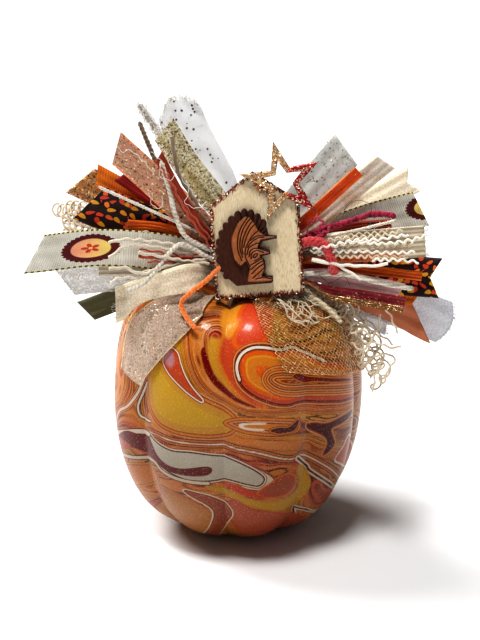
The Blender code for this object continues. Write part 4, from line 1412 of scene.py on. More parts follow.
@dataclass(frozen=True)
class Ribbon:
    """A length of ribbon, tulle or lace that leaves the knot in one layer of the fan.

    The route runs from the knot outwards, in the bow's plane. The end is cut square, slanted,
    to a point or to a notch: slant moves the upper corner out, and notch pulls the middle in.
    The ribbon is pinched at the knot and has its full width from the share open_by on. The cut
    shapes the stretch from the share cut_from to the end.
    """

    name: str
    layer: float
    route: tuple[Place, ...]
    width: float
    cloth: str
    slot: str
    slant: float = 0.0
    notch: float = 0.0
    tilt: float = 0.0
    ripple: float = 0.6
    waves: float = 1.0
    pinch: float = 5.0
    pleats: float = 3.0
    crumple: float = 0.35
    rounding: float = 0.0
    arch: float = 0.0
    fray: int = 0
    open_by: float = 0.42
    cut_from: float = 0.6
    thick: float = 0.35
    stations: int = 64
    columns: int = 20
    shortest_sheet: float = 10.0

    def surface(self) -> Callable[[float, float], Vector]:
        """Gives the function that places a point of the ribbon by its shares across and along.

        Returns:
            The function.
        """
        line = smooth_curve(self.route, self.stations + 1)
        seed = Vector((len(self.name) * 1.7, self.layer * 3.1, self.width))

        def place(across: float, along: float) -> Vector:
            """Gives a point of the ribbon.

            Args:
                across: The share across.
                along: The share of its length.

            Returns:
                The point.
            """
            i = min(round(along * self.stations), self.stations)
            direction = heading(line, i)
            side = Vector((-direction.y, direction.x, 0))
            if side.y < 0:
                side = -side
            opening = min(along / self.open_by, 1)
            opening = opening * opening * (3 - 2 * opening)
            width = self.pinch + (self.width - self.pinch) * opening
            spot = 2 * across - 1
            cut = self.slant * 0.5 * spot - self.notch * (1 - abs(spot))
            cut -= self.rounding * spot * spot
            reach = max(along - self.cut_from, 0) / (1 - self.cut_from)
            point = line[i] + side * (spot * width / 2) + direction * (cut * reach)
            curl = self.ripple * math.sin(math.tau * self.waves * along)
            curl += self.arch * math.sin(math.pi * min(along * 1.1, 1.0) ** 0.8)
            lean = math.sin(math.radians(self.tilt)) * spot * width / 2
            fold = math.sin(math.pi * self.pleats * spot + 1.3) * (0.25 + 0.45 * (1 - opening))
            fold += noise.noise(Vector((spot * 1.6, along * 5, 0)) + seed) * self.crumple * 2
            return BOW.fan(point.x, point.y, self.layer, (curl + lean) * opening + fold * 0.8)

        return place

    def build(self) -> bpy.types.Object:
        """Makes the ribbon and hands it over.

        Returns:
            The finished ribbon.
        """
        bm = grid(self.columns, self.stations, self.surface())
        length = curve_length(smooth_curve(self.route, 40))
        cut = min(sum(face.calc_area() for face in bm.faces), self.width * length)
        obj = cloth_object(self.name + "_cloth", bm, self.width, length, self.thick)
        MAKER.keep(obj, CLOTHS[self.cloth].make(), self.slot, self.name)
        if self.fray:
            self.unravel()
        return obj

    def unravel(self) -> bpy.types.Object:
        """Lets short threads hang out of the cut end.

        Returns:
            The threads.
        """
        chance = Random(self.name)
        place = self.surface()
        routes = []
        for _ in range(self.fray):
            across = chance.random()
            start = place(across, 1.0)
            ahead = (start - place(across, 0.95)).normalized()
            side = ahead.cross(BOW.out) * chance.uniform(-0.7, 0.7) + BOW.out * chance.uniform(-0.5, 0.5)
            size = chance.uniform(1.0, 3.6)
            middle = start + (ahead + side * 0.3) * size * 0.5
            routes.append([start - ahead * 0.6, start, middle, start + (ahead * 0.8 + side) * size])
        obj = MAKER.threads(self.name + "_frays", routes, 0.09)
        return MAKER.keep(obj, FIBRES["pale_yarn"].make(), self.slot)


def cloth_object(name: str, bm: bmesh.types.BMesh, width: float, length: float,
                 thick: float) -> bpy.types.Object:
    """Makes a thin cloth of a bent grid, with its own measure across, along and from the edge.

    Args:
        name: The piece's name.
        bm: The bent grid, in millimetres.
        width: The cloth's width in millimetres.
        length: Its length.
        thick: Its thickness.

    Returns:
        The cloth.
    """
    across_layer = bm.verts.layers.float["share_across"]
    along_layer = bm.verts.layers.float["share_along"]
    bm.verts.ensure_lookup_table()
    measures = []
    for vert in bm.verts:
        spot = 2 * vert[across_layer] - 1
        measures += [spot * width / 2, vert[along_layer] * length, (1 - abs(spot)) * width / 2]
    obj = MAKER.mesh(name, bm)
    attribute = obj.data.attributes.new("cloth", "FLOAT_VECTOR", "POINT")
    attribute.data.foreach_set("vector", measures)
    shell = obj.modifiers.new("thickness", "SOLIDIFY")
    shell.thickness = thick * MM
    shell.offset = 0.0
    return obj


RIBBONS = (
    Ribbon("white_tulle_loop", -3, ((-7, 13), (-18, 34), (-31, 58), (-39, 76)), 21, "white_tulle",
         "white_tulle", tilt=10, pinch=7, rounding=8, crumple=0.9, fray=150),
    Ribbon("gold_tulle_left", 0, ((-9, 13), (-19, 28), (-33, 46), (-44, 63)), 13, "gold_tulle",
         "gold_tulle", slant=4, tilt=-12, ripple=1.0, crumple=0.9, fray=24),
    Ribbon("red_orange_ribbon", 5.9, ((-10.5, 9), (-24, 14), (-36, 31), (-47, 51)), 5, "rust_trim",
         "orange_ribbon", tilt=10, slant=3, pinch=3),
    Ribbon("copper_ribbon_left", 4.9, ((-11.5, 6.5), (-27, 18), (-47, 37), (-67, 55)), 14, "copper_mesh",
         "copper_satin", slant=7, tilt=8, pinch=4),
    Ribbon("peach_ribbon_left", -1, ((-11.5, 5), (-32, 13), (-58, 27), (-84, 39)), 16, "peach_glitter",
         "peach_glitter", slant=-8, tilt=-8),
    Ribbon("orange_grosgrain_left", 1, ((-11.5, 7), (-30, 16), (-52, 28), (-76, 41)), 11, "orange_ribbon",
         "orange_ribbon", slant=5, tilt=6, crumple=0.15),
    Ribbon("burgundy_ribbon_left", 2, ((-10.5, 11), (-27, 19), (-45, 29), (-64, 42)), 9,
         "burgundy_ribbon", "burgundy_ribbon", slant=-4, tilt=-8),
    Ribbon("leaf_ribbon_left", 2.8, ((-11.5, 0), (-33, 10), (-56, 19), (-80, 29)), 20, "leaf_print",
         "leaf_print", slant=-9, tilt=5, pinch=4, crumple=0.2),
    Ribbon("orange_satin_left", 3.7, ((-11.5, 1), (-27, 11), (-44, 17), (-62, 19)), 4.5, "orange_satin",
         "orange_satin", tilt=15, pinch=3),
    Ribbon("motif_ribbon_left", 4.6, ((-11.5, -4), (-35, 4), (-72, 8), (-107, 5)), 17.5,
         "motif_left_grosgrain", "motif_grosgrain", slant=-12, tilt=-2, ripple=0.5, pinch=4, crumple=0.1),
    Ribbon("muslin_strip_left", 3.9, ((-11.5, -7), (-32, -1), (-54, 1), (-76, 1)), 13, "cream_muslin",
         "cream_muslin", tilt=2, ripple=0.5, pinch=4, crumple=0.5, pleats=5, fray=40),
    Ribbon("silver_organza_left", 0.6, ((-11.5, -3), (-34, -4), (-62, -6), (-92, -9)), 13,
         "silver_organza", "silver_organza", slant=8, tilt=10, fray=24),
    Ribbon("ivory_ribbon_left", 1.9, ((-11.5, -7.5), (-30, -7), (-50, -13), (-68, -20)), 16,
         "ivory_sheer", "ivory_sheer", slant=-6, tilt=8, pinch=7, arch=18, fray=10),
    Ribbon("olive_ribbon_left", -2, ((-11.5, -5), (-34, -8), (-60, -15), (-82, -23)), 11, "olive_ribbon",
         "olive_ribbon", slant=5, tilt=-10),
    Ribbon("silver_satin_right", 1, ((8, 13), (17, 24), (30, 40), (42, 54)), 18, "silver_satin",
         "silver_satin", slant=4, tilt=-10, pinch=6, crumple=0.3),
    Ribbon("velvet_ribbon_right", 5, ((10.5, 11), (21, 19), (34, 31), (48, 44)), 5.5, "orange_velvet",
         "orange_ribbon", tilt=12, pinch=4),
    Ribbon("ivory_print_ribbon", 2, ((11.5, 9), (27, 20), (44, 34), (61, 48)), 10, "ivory_print",
         "ivory_sheer", slant=-3, tilt=8),
    Ribbon("ivory_edge_ribbon", -1, ((11.5, 7), (31, 17), (52, 28), (75, 40)), 13, "ivory_sheer",
         "ivory_sheer", notch=4, tilt=-10),
    Ribbon("motif_ribbon_right", 0.2, ((11.5, 4), (32, 12), (55, 20), (78, 26)), 17.5,
         "motif_right_grosgrain", "motif_grosgrain", slant=-4, tilt=8, crumple=0.1),
    Ribbon("rust_bead_strip", 3, ((11.5, 6), (28, 13), (46, 17.5), (64, 19)), 4.5, "rust_trim",
         "rust_trim", tilt=14, pinch=3),
    Ribbon("muslin_strip_right", 4, ((11.5, 2), (33, 7), (56, 9), (80, 11)), 15, "cream_muslin",
         "cream_muslin", tilt=-6, ripple=1.0, waves=2, pinch=4, crumple=0.6, pleats=5, fray=50),
    Ribbon("olive_ribbon_right", -2, ((11.5, -1), (34, 3), (56, 6), (77, 7)), 9, "olive_grey_ribbon",
         "olive_ribbon", slant=5, tilt=12),
    Ribbon("leaf_ribbon_right", 1, ((11.5, -3), (36, -3), (62, -5), (88, -7)), 19, "leaf_print",
         "leaf_print", notch=5, tilt=-6, pinch=4, crumple=0.2),
    Ribbon("orange_satin_right", 2.2, ((11.5, -1), (35, -1), (58, -3.5), (79, -6)), 4.5, "orange_satin",
         "orange_satin", tilt=10, pinch=3),
    Ribbon("mauve_satin_right", 3.2, ((11.5, -5), (30, -6), (50, -9), (69, -13)), 8, "mauve_satin",
         "mauve_satin", slant=3, tilt=10, pinch=3),
    Ribbon("burgundy_glitter_right", 4.4, ((11.5, -8.5), (31, -12.5), (51, -15), (71, -18)), 5,
         "burgundy_glitter", "burgundy_glitter", tilt=8, pinch=3),
    Ribbon("gold_trim_right", 5.6, ((11.5, -10.5), (32, -15.5), (51, -18.5), (70, -21.5)), 3, "gold_trim",
         "gold_trim", pinch=2.5, tilt=8, crumple=0.1),
    Ribbon("orange_grosgrain_right", 0, ((11.5, -6), (33, -8), (55, -12), (77, -16)), 9, "orange_ribbon",
         "orange_ribbon", slant=4, tilt=-8, crumple=0.15),
    Ribbon("copper_satin_right", -1.3, ((11.5, -8), (36, -10), (59, -15), (77, -24)), 20, "copper_satin",
         "copper_satin", slant=-26, tilt=5, pinch=4, crumple=0.1),
    Ribbon("white_tulle_right", -2.7, ((11.5, -9), (31, -13), (48, -20), (63, -28)), 13, "plain_tulle",
         "white_tulle", slant=-5, tilt=-8, pinch=4, crumple=1.4, fray=40),
    Ribbon("grey_tulle_right", -3.8, ((11.5, -4), (40, -10), (68, -20), (94, -30)), 21, "grey_tulle",
         "white_tulle", rounding=4, tilt=10, crumple=0.7, fray=60),
)


@dataclass(frozen=True)
class Fibre:
    """The finish of a twine, yarn or thread."""

    name: str
    colour: Colour
    # The colour of the painted shade in the ply grooves and of the darker fibres.
    shade: Colour
    roughness: float = 0.9
    sheen: float = 0.5

    @cache
    def make(self) -> bpy.types.Material:
        """Makes the fibre's material, once.

        Returns:
            The material.
        """
        bench = NodeBench(self.name)
        place = bench.object_place()
        ply_shade = bench.number("ply_shade")
        hairs = bench.noise(place, 0.0006, 3.0)
        patches = bench.noise(place, 0.006, 2.0)
        # Painted shade: darker in the grooves between the plies, with random tone from the hairs and
        # patches.
        shade = bench.plus(bench.times(ply_shade, 0.85), bench.span(hairs, 0.45, 0.8, 0, 0.5))
        shade = bench.plus(shade, bench.span(patches, 0.45, 0.7, 0, 0.25))
        bench.dress(Base_Color=bench.mix(shade, self.colour, self.shade), Roughness=self.roughness,
                    Sheen_Weight=self.sheen, Specular_IOR_Level=0.2)
        bench.bump(hairs, 0.12, 0.7)
        return bench.material


FIBRES = {fibre.name: fibre for fibre in (
    Fibre("cream_twine", paint(242, 236, 224), paint(176, 162, 138)),
    Fibre("grey_twine", paint(150, 132, 112), paint(92, 76, 60)),
    Fibre("pale_yarn", paint(222, 218, 210), paint(170, 162, 150)),
    Fibre("rust_yarn", paint(190, 92, 60), paint(122, 44, 30)),
    Fibre("burgundy_yarn", paint(184, 56, 86), paint(112, 20, 46)),
    Fibre("orange_twine", paint(246, 148, 70), paint(206, 88, 28)),
    Fibre("roving", paint(218, 118, 52), paint(160, 66, 26)),
    Fibre("jute", paint(244, 230, 202), paint(186, 166, 132)),
    Fibre("coral_yarn", paint(222, 98, 96), paint(170, 50, 56)),
    Fibre("beige_thread", paint(224, 210, 186), paint(158, 138, 108)),
    Fibre("muslin_yarn", paint(222, 212, 194), paint(156, 142, 118)),
    Fibre("dark_thread", paint(60, 48, 44), paint(34, 26, 24)),
)}


def frames_along(points: Sequence[Vector]) -> list[tuple[Vector, Vector]]:
    """Gives each point of a line two directions across it that turn as little as they can.

    Args:
        points: The line's points.

    Returns:
        The pairs of directions.
    """
    frames = []
    first = points[1] - points[0]
    normal = first.orthogonal().normalized()
    for k in range(len(points)):
        ahead = heading(points, k)
        normal = (normal - ahead * normal.dot(ahead)).normalized()
        frames.append((normal.copy(), ahead.cross(normal)))
    return frames


@dataclass(frozen=True)
class Twine:
    """A cord of the bow: how it is spun, and the route that it follows.

    A route in the fan is (across, up) in the bow's plane. A route on the skin is (azimuth,
    level, lift) and has no layer.
    """

    name: str
    layer: float | None
    route: tuple[tuple[float, ...], ...]
    diameter: float
    fibre: str
    slot: str
    plies: int = 2
    turn: float = 4.2
    lumps: float = 0.04
    squash: float = 1.0
    fuzz: int = 40
    fuzz_length: float = 1.2
    cord: bool = True
    sides: int = 12
    spacing: float = 0.55
    core: float = 0.66
    worn_end: float = 0.55

    def line(self) -> list[Vector]:
        """Gives the points of the twine's middle line.

        Returns:
            The points in millimetres.
        """
        if self.layer is None:
            steps = smooth_curve(self.route, 6 * len(self.route))
            points = [Vector(SKIN.point(p.x, p.y, p.z, grooved=False)) for p in steps]
        else:
            steps = smooth_curve(self.route, 6 * len(self.route))
            points = [BOW.fan(p.x, p.y, self.layer) for p in steps]
        return even_curve(points, self.spacing)

    def build(self) -> bpy.types.Object:
        """Spins the twine, with its stray hairs, and hands it over.

        Returns:
            The finished twine.
        """
        points = self.line()
        frames = frames_along(points)
        last = len(points) - 1
        radius = self.diameter / 2
        seed = Vector((len(self.name) * 2.3, self.diameter, 5.0))

        def radius_at(angle: float, along: float) -> float:
            """Gives the twine's radius where its plies, lumps and worn ends have left it.

            Args:
                angle: The direction round the twine.
                along: The share of its length.

            Returns:
                The radius in millimetres.
            """
            walked = along * last * self.spacing
            twist = math.tau * walked / self.turn
            ply = abs(math.cos(self.plies / 2 * angle + twist))
            lump = noise.noise(Vector((math.cos(angle), math.sin(angle), walked * 0.9)) + seed)
            end = min(1.0, self.worn_end + 0.4 * min(along, 1 - along) * last * self.spacing)
            return radius * (self.core + (1 - self.core) * ply + self.lumps * lump * 4) * end

        def place(across: float, along: float) -> Vector:
            """Gives a point of the twine's skin.

            Args:
                across: The share round the twine.
                along: The share of its length.

            Returns:
                The point.
            """
            k = round(along * last)
            angle = math.tau * across
            reach = radius_at(angle, along)
            side, other = frames[k]
            return points[k] + side * (reach * math.cos(angle)) + other * (
                reach * math.sin(angle) * self.squash)

        bm = grid(self.sides, last, place)
        shares = bm.verts.layers.float["share_across"]
        rows = bm.verts.layers.float["share_along"]
        # How deep each point lies in the groove between plies; the fibre paints shade there.
        ply_shade = bm.verts.layers.float.new("ply_shade")
        for vert in bm.verts:
            reach = radius_at(math.tau * vert[shares], vert[rows]) / radius
            vert[ply_shade] = max(0.0, min(1.0, (0.97 - reach) * 3.4))
        weld(bm, 0.001)
        obj = MAKER.mesh(self.name + "_spun", bm)
        MAKER.keep(obj, FIBRES[self.fibre].make(), self.slot, self.name)
        hairs = self.hairs(points, frames)
        if self.cord:
            curve_length(points) * MM
        return obj

    def hairs(self, points: Sequence[Vector], frames: Sequence[tuple[Vector, Vector]]
              ) -> bpy.types.Object | None:
        """Adds the stray hairs that stand out of the twine.

        Args:
            points: The twine's middle line.
            frames: The directions across it.

        Returns:
            The hairs, or None where the twine has none.
        """
        if not self.fuzz:
            return None
        chance = Random(self.name)
        routes = []
        for _ in range(self.fuzz):
            k = chance.randrange(1, len(points) - 3)
            angle = chance.uniform(0, math.tau)
            side, other = frames[k]
            away = side * math.cos(angle) + other * math.sin(angle)
            ahead = (points[k + 1] - points[k]).normalized() * chance.uniform(-1.4, 1.4)
            start = points[k] + away * self.diameter * 0.3
            size = self.fuzz_length * chance.uniform(0.5, 1.0)
            middle = start + (away * 0.7 + ahead * 0.5) * size * 0.5
            end = start + (away * 0.8 + ahead) * size
            routes.append([start, middle, end])
        obj = MAKER.threads(self.name + "_hairs", routes, 0.1)
        return MAKER.keep(obj, FIBRES[self.fibre].make(), self.slot)


TWINES = (
    Twine("white_twine_left", 6.9, ((-12, 3), (-25, 8), (-35, 14), (-40, 26), (-42, 35), (-46, 49)), 2.5,
         "cream_twine", "cream_twine"),
    Twine("white_twine_branch", 6.9, ((-12, -2), (-24, 3.5), (-36, 9.5), (-43, 4.5), (-49, -3), (-55, -9),
         (-63, -13)), 2.5, "cream_twine", "cream_twine"),
    Twine("grey_twine_left", 3.1, ((-8, 13.5), (-24, 22), (-38, 33), (-47, 46), (-56, 67)), 2.4,
         "grey_twine", "grey_twine", fuzz=70),
    Twine("fuzzy_yarn_left", -1.6, ((-8, 14), (-24, 32), (-40, 52), (-56, 75)), 3.0, "pale_yarn",
         "pale_yarn", plies=3, lumps=0.12, fuzz=620, fuzz_length=3.2),
    Twine("pale_cord_left", 5.2, ((-12, 9), (-32, 17), (-54, 27), (-76, 37)), 1.6, "cream_twine",
         "cream_twine", turn=3.0),
    Twine("rust_yarn_left", 5.7, ((-12, -1), (-26, 2), (-40, 3), (-57, 4)), 2.4, "rust_yarn", "rust_yarn",
         lumps=0.12, fuzz=120, fuzz_length=1.8),
    Twine("burgundy_yarn_right", 5.2, ((12, 5), (27, 15), (43, 20), (56, 24), (66, 23)), 3.0,
         "burgundy_yarn", "burgundy_yarn", plies=3, lumps=0.16, fuzz=200, fuzz_length=1.3),
    Twine("white_string_right", 6.3, ((12.5, 8), (28, 12), (46, 16), (66, 21)), 1.6, "cream_twine",
         "cream_twine", turn=2.4, fuzz=50),
    Twine("orange_roving_right", 5.2, ((12, 1.5), (30, 2.2), (50, 2.8), (70, 4)), 3.0, "roving",
         "orange_cord", lumps=0.14, turn=14.0, plies=3, fuzz=260, fuzz_length=1.6),
    Twine("cotton_cord_right", 5.6, ((12.5, -5.5), (30, -4.5), (45, -5.5), (60, -9), (75, -11.5)), 2.5,
         "cream_twine", "cream_twine", turn=16.0, plies=3, fuzz=60),
    Twine("orange_cord", None, ((-12, 0.95, 16), (-18, 1.05, 16.5), (-25, 1.07, 13), (-32, 1.09, 7.5),
         (-28, 1.12, 4.2), (-20, 1.16, 3.6)), 2.4, "orange_twine", "orange_cord"),
    Twine("jute_twine", None, ((68, 0.88, 3.6), (60, 0.98, 3.6), (55, 1.08, 3.6), (60, 1.2, 3.6)), 2.8,
         "jute", "jute", turn=6.0, fuzz=160, fuzz_length=1.9),
    Twine("coral_chenille", 7.3, ((13, 3), (22, 10), (31, 10), (35, 3), (37, -5)), 5.0, "coral_yarn",
         "coral_chenille", plies=4, turn=5.0, lumps=0.06, squash=0.55, fuzz=700, fuzz_length=1.1,
         cord=False, sides=20),
)


@dataclass(frozen=True)
class Drape:
    """A loose cloth that lies on the pumpkin between two edges of (azimuth, level) places."""

    name: str
    left: tuple[Place, ...]
    right: tuple[Place, ...]
    lift: float
    rows: int = 48

    @cache
    def edges(self) -> tuple[list[Vector], list[Vector]]:
        """Gives the places of both edges, once."""
        return smooth_curve(self.left, self.rows + 1), smooth_curve(self.right, self.rows + 1)

    def place(self, across: float, along: float, proud: float = 0.0) -> Vector:
        """Gives a point of the cloth by its shares across and along.

        Args:
            across: The share from the left edge to the right.
            along: The share of the way down.
            proud: How far above the cloth the point lies.

        Returns:
            The point.
        """
        low, high = self.edges()
        k = min(int(along * self.rows), self.rows - 1)
        part = along * self.rows - k
        spot = low[k].lerp(low[k + 1], part).lerp(high[k].lerp(high[k + 1], part), across)
        return Vector(SKIN.point(spot.x, spot.y, self.lift + proud, grooved=False))

    def size(self) -> Place:
        """Gives the cloth's mean width and length.

        Returns:
            Both in millimetres.
        """
        rows = [[self.place(k / 12, row / 12) for k in range(13)] for row in range(13)]
        width = sum(curve_length(row) for row in rows) / 13
        length = sum(curve_length([row[k] for row in rows]) for k in range(13)) / 13
        return width, length


@dataclass(frozen=True)
class Organza(Drape):
    """The sheer speckled cloth on the left shoulder."""

    def build(self) -> bpy.types.Object:
        """Lays the cloth with soft folds and hands it over.

        Returns:
            The finished cloth.
        """
        seed = Vector((3.0, 8.0, 1.0))

        def folded(across: float, along: float) -> Vector:
            """Gives a point of the folded cloth.

            Args:
                across: The share from the left edge to the right.
                along: The share of the way down.

            Returns:
                The point.
            """
            fold = math.sin(across * 14 + along * 3) * 0.35 * (1 - along * 0.6)
            fold += noise.noise(Vector((across * 4, along * 4, 0)) + seed) * 0.7
            return self.place(across, along, fold)

        bm = grid(48, 48, folded)
        cut = sum(face.calc_area() for face in bm.faces)
        width, length = self.size()
        obj = cloth_object(self.name + "_cloth", bm, width, length, 0.3)
        MAKER.keep(obj, CLOTHS["speckled_organza"].make(), "speckled_organza", self.name)
        return obj


@dataclass(frozen=True)
class Net(Drape):
    """The gold net on the right shoulder: two families of threads that cross."""

    cell: float = 1.9
    thread: float = 0.15

    def build(self) -> bpy.types.Object:
        """Knots the net from its threads and hands it over.

        Returns:
            The finished net.
        """
        width, length = self.size()
        columns = max(round(width / self.cell), 4)
        rows = max(round(length / self.cell), 4)
        routes = []
        for lean in (1, -1):
            for start in range(-rows, columns + rows + 1):
                route = []
                for k in range(rows * 2 + 1):
                    across = (start + lean * k / 2) / columns
                    if 0 <= across <= 1:
                        route.append(self.place(across, k / (2 * rows), 0.12 * lean))
                if len(route) > 2:
                    routes.append(route)
        for row in (0.0, 1.0):
            routes.append([self.place(k / 40, row) for k in range(41)])
        obj = MAKER.threads(self.name + "_threads", routes, self.thread)
        bench = NodeBench("gold_net")
        golds = ((0.0, paint(150, 106, 52)), (0.4, paint(206, 164, 100)), (0.8, paint(230, 200, 146)),
                 (1.0, paint(255, 244, 214)))
        colour = bench.ramp(bench.sparks(0.0011)[0], golds)
        bench.dress(Base_Color=colour.outputs[0], Metallic=0.1, Roughness=0.45)
        MAKER.keep(obj, bench.material, "gold_net", self.name)
        return obj


ORGANZA = Organza("speckled_organza", ((-52, 0.25), (-60, 1.02), (-66, 1.2), (-62, 1.36)),
                  ((-24, 0.25), (-22, 1.0), (-22, 1.12), (-46, 1.38)), 1.5)
NET = Net("gold_net", ((12, 0.84), (12, 1.0), (13, 1.14), (21, 1.3)),
          ((76, 0.75), (84, 1.0), (88, 1.22), (87, 1.42)), 1.2)


@dataclass(frozen=True)
class Fringe:
    """A strip of curly yarn in place of a plain strip of the fan."""

    name: str
    layer: float
    route: tuple[Place, ...]
    width: float
    curls: int
    curl_radius: float
    pitch: float
    thread: float = 0.5
    steps: int = 6
    first_size: float = 0.25
    full_after: float = 45.0

    def build(self) -> bpy.types.Object:
        """Twirls the yarn into loops along the strip and hands it over.

        Returns:
            The finished fringe.
        """
        chance = Random(self.name)
        steps = smooth_curve(self.route, 60)
        line = even_curve([BOW.fan(point.x, point.y, self.layer) for point in steps], 1.0)
        last = len(line) - 1
        routes = []
        for curl in range(self.curls):
            offset = (curl / max(self.curls - 1, 1) - 0.5) * self.width
            phase = chance.uniform(0, math.tau)
            first = chance.randrange(0, 8)
            final = last - chance.randrange(0, 10)
            route = []
            turn = phase
            for k in range(first * self.steps, final * self.steps):
                place = k / self.steps
                i = min(int(place), last - 1)
                spot = line[i].lerp(line[i + 1], place - i)
                ahead = (line[i + 1] - line[i]).normalized()
                side = BOW.out.cross(ahead).normalized()
                grow = min(1.0, self.first_size + place / self.full_after)
                uneven = 1 + 0.5 * noise.noise(Vector((place * 0.12, curl * 3.0, phase)))
                size = self.curl_radius * grow * uneven
                drift = 1 + 0.4 * noise.noise(Vector((place * 0.2, curl, 9)))
                turn += math.tau / (self.steps * self.pitch) * drift
                route.append(spot + side * (offset * grow + size * math.cos(turn))
                             + ahead * (size * 0.9 * math.sin(turn))
                             + BOW.out * (0.9 * math.sin(turn + 0.8)))
            routes.append(route)
        obj = MAKER.threads(self.name + "_curls", routes, self.thread, 1)
        return MAKER.keep(obj, FIBRES["beige_thread"].make(), "beige_lace", self.name)


FRINGES = (
    Fringe("beige_fringe_left", -4, ((-11.5, 2), (-38, 11), (-66, 18), (-97, 23)), 9, 5, 3.2, 3.2),
    Fringe("beige_fringe_right", 1.9, ((11, -12), (31, -16), (48, -31), (56, -47), (60, -60)), 8, 4, 3.0,
         6.5),
)


@dataclass(frozen=True)
class LooseThreads:
    """Loose threads of one kind in the bow. Their routes are pixels of the front view."""

    name: str
    fibre: str
    slot: str
    layer: float
    radius: float
    routes: tuple[tuple[Place, ...], ...]
    wave: float = 0.0
    pitch: float = 4.0

    def build(self) -> bpy.types.Object:
        """Lays the threads and hands them over as one piece.

        Returns:
            The threads.
        """
        lines = []
        for number, route in enumerate(self.routes):
            layer = self.layer + 0.25 * number
            steps = smooth_curve([BOW.from_pixel(pixel) for pixel in route], 8 * len(route))
            points = even_curve([BOW.fan(p.x, p.y, layer) for p in steps], 0.5)
            line = []
            for k, point in enumerate(points):
                side = BOW.out.cross(heading(points, k)).normalized()
                uneven = 1 + 0.6 * noise.noise(Vector((k * 0.05, number * 2.0, 4.0)))
                drift = 2.5 * noise.noise(Vector((k * 0.03, number * 5.0, 8.0)))
                swing = self.wave * uneven * math.sin(math.tau * k * 0.5 / self.pitch + number * 2 + drift)
                line.append(point + side * swing)
            lines.append(line)
        obj = MAKER.threads(self.name, lines, self.radius, 2)
        return MAKER.keep(obj, FIBRES[self.fibre].make(), self.slot)


LOOSE_THREADS = (
    LooseThreads("zigzag_strings", "cream_twine", "cream_twine", 7.0, 0.55, (
        ((313, 251), (334, 244), (352, 240), (381, 241), (402, 239), (416, 236), (432, 230)),
        ((310, 249), (346, 249), (364, 249), (381, 250), (400, 250), (415, 249)),
        ((372, 257), (398, 257), (419, 259)),
        ((313, 247), (332, 243), (355, 238), (377, 237), (393, 234), (408, 232)),
    ), 0.6, 4.0),
    LooseThreads("beige_zigzags", "beige_thread", "beige_lace", 6.4, 0.5, (
        ((312, 245), (334, 240), (352, 233), (381, 230), (391, 226)),
        ((314, 248), (340, 246), (355, 242), (372, 245), (391, 243), (413, 242)),
        ((312, 243), (333, 237), (356, 235), (382, 233), (402, 228)),
        ((314, 251), (338, 254), (360, 254), (384, 254), (408, 254)),
    ), 0.7, 3.6),
    LooseThreads("cotton_strands", "cream_twine", "cream_twine", 7.4, 0.75, (
        ((312, 257), (336, 262), (352, 271), (361, 277)),
        ((312, 258), (336, 262), (358, 263), (372, 263), (388, 261)),
    ), 0.2, 9.0),
    LooseThreads("crinkled_strands", "muslin_yarn", "cream_twine", 6.2, 0.75, (
        ((107, 240), (124, 237), (148, 239), (171, 242), (195, 248), (208, 254)),
        ((107, 255), (121, 245), (134, 243), (156, 245), (187, 251), (209, 257)),
        ((108, 279), (121, 275), (134, 275), (145, 269), (175, 262), (208, 257)),
        ((107, 266), (124, 265), (140, 271), (165, 264), (208, 256)),
        ((137, 250), (160, 254), (186, 259), (208, 262)),
    ), 0.3, 6.5),
    LooseThreads("rust_strands", "rust_yarn", "rust_yarn", 6.5, 0.45, (
        ((138, 247), (160, 250), (186, 255), (209, 261)),
        ((140, 253), (164, 256), (190, 254), (209, 251)),
        ((146, 259), (168, 260), (188, 260), (208, 257)),
        ((160, 165), (176, 194), (192, 214), (209, 236)),
        ((166, 172), (180, 200), (190, 218), (209, 244)),
    ), 0.35, 7.0),
    LooseThreads("burgundy_loops", "burgundy_yarn", "burgundy_yarn", 6.6, 0.5, (
        ((308, 222), (318, 216), (322, 222), (316, 230), (326, 234)),
        ((306, 228), (312, 236), (322, 232), (330, 226)),
    ), 0.7, 3.6),
    LooseThreads("grey_strand", "grey_twine", "grey_twine", 5.0, 1.0, (
        ((171, 136), (174, 155), (178, 172), (187, 188), (209, 222)),
    ), 0.15, 6.0),
    LooseThreads("fine_threads", "pale_yarn", "pale_yarn", 7.6, 0.16, (
        ((115, 144), (122, 150), (130, 149), (146, 163), (153, 173)),
        ((137, 236), (141, 229), (148, 230), (150, 239), (143, 244), (136, 240)),
        ((148, 190), (150, 200), (156, 206), (162, 201), (160, 194)),
        ((150, 150), (160, 160), (158, 172), (168, 178), (176, 172)),
        ((180, 176), (188, 188), (184, 200), (196, 206), (206, 200)),
    ), 0.3, 5.0),
    LooseThreads("dark_threads", "dark_thread", "grey_twine", 7.6, 0.12, (
        ((342, 215), (346, 204), (357, 198), (369, 202), (371, 211)),
        ((80, 190), (86, 196), (93, 203)),
        ((318, 272), (330, 280), (344, 274), (350, 282)),
    )),
    LooseThreads("lace_curls", "beige_thread", "beige_lace", 3.2, 0.5, (
        ((352, 324), (360, 321), (369, 326), (384, 334), (395, 343)),
        ((381, 312), (381, 324), (374, 336), (369, 352), (376, 365), (384, 362), (381, 358)),
        ((353, 340), (364, 346), (364, 360), (371, 370), (381, 369), (386, 362), (380, 356)),
        ((371, 358), (381, 353), (393, 353), (396, 360), (389, 370), (388, 377), (383, 382), (381, 376),
         (387, 374)),
        ((381, 369), (377, 374), (376, 382), (375, 391)),
        ((356, 330), (366, 340), (378, 341), (391, 345), (403, 345)),
        ((380, 300), (391, 312), (396, 324), (400, 331)),
        ((352, 332), (362, 328), (372, 334), (370, 344), (360, 348), (356, 342)),
    ), 0.35, 6.0),
)


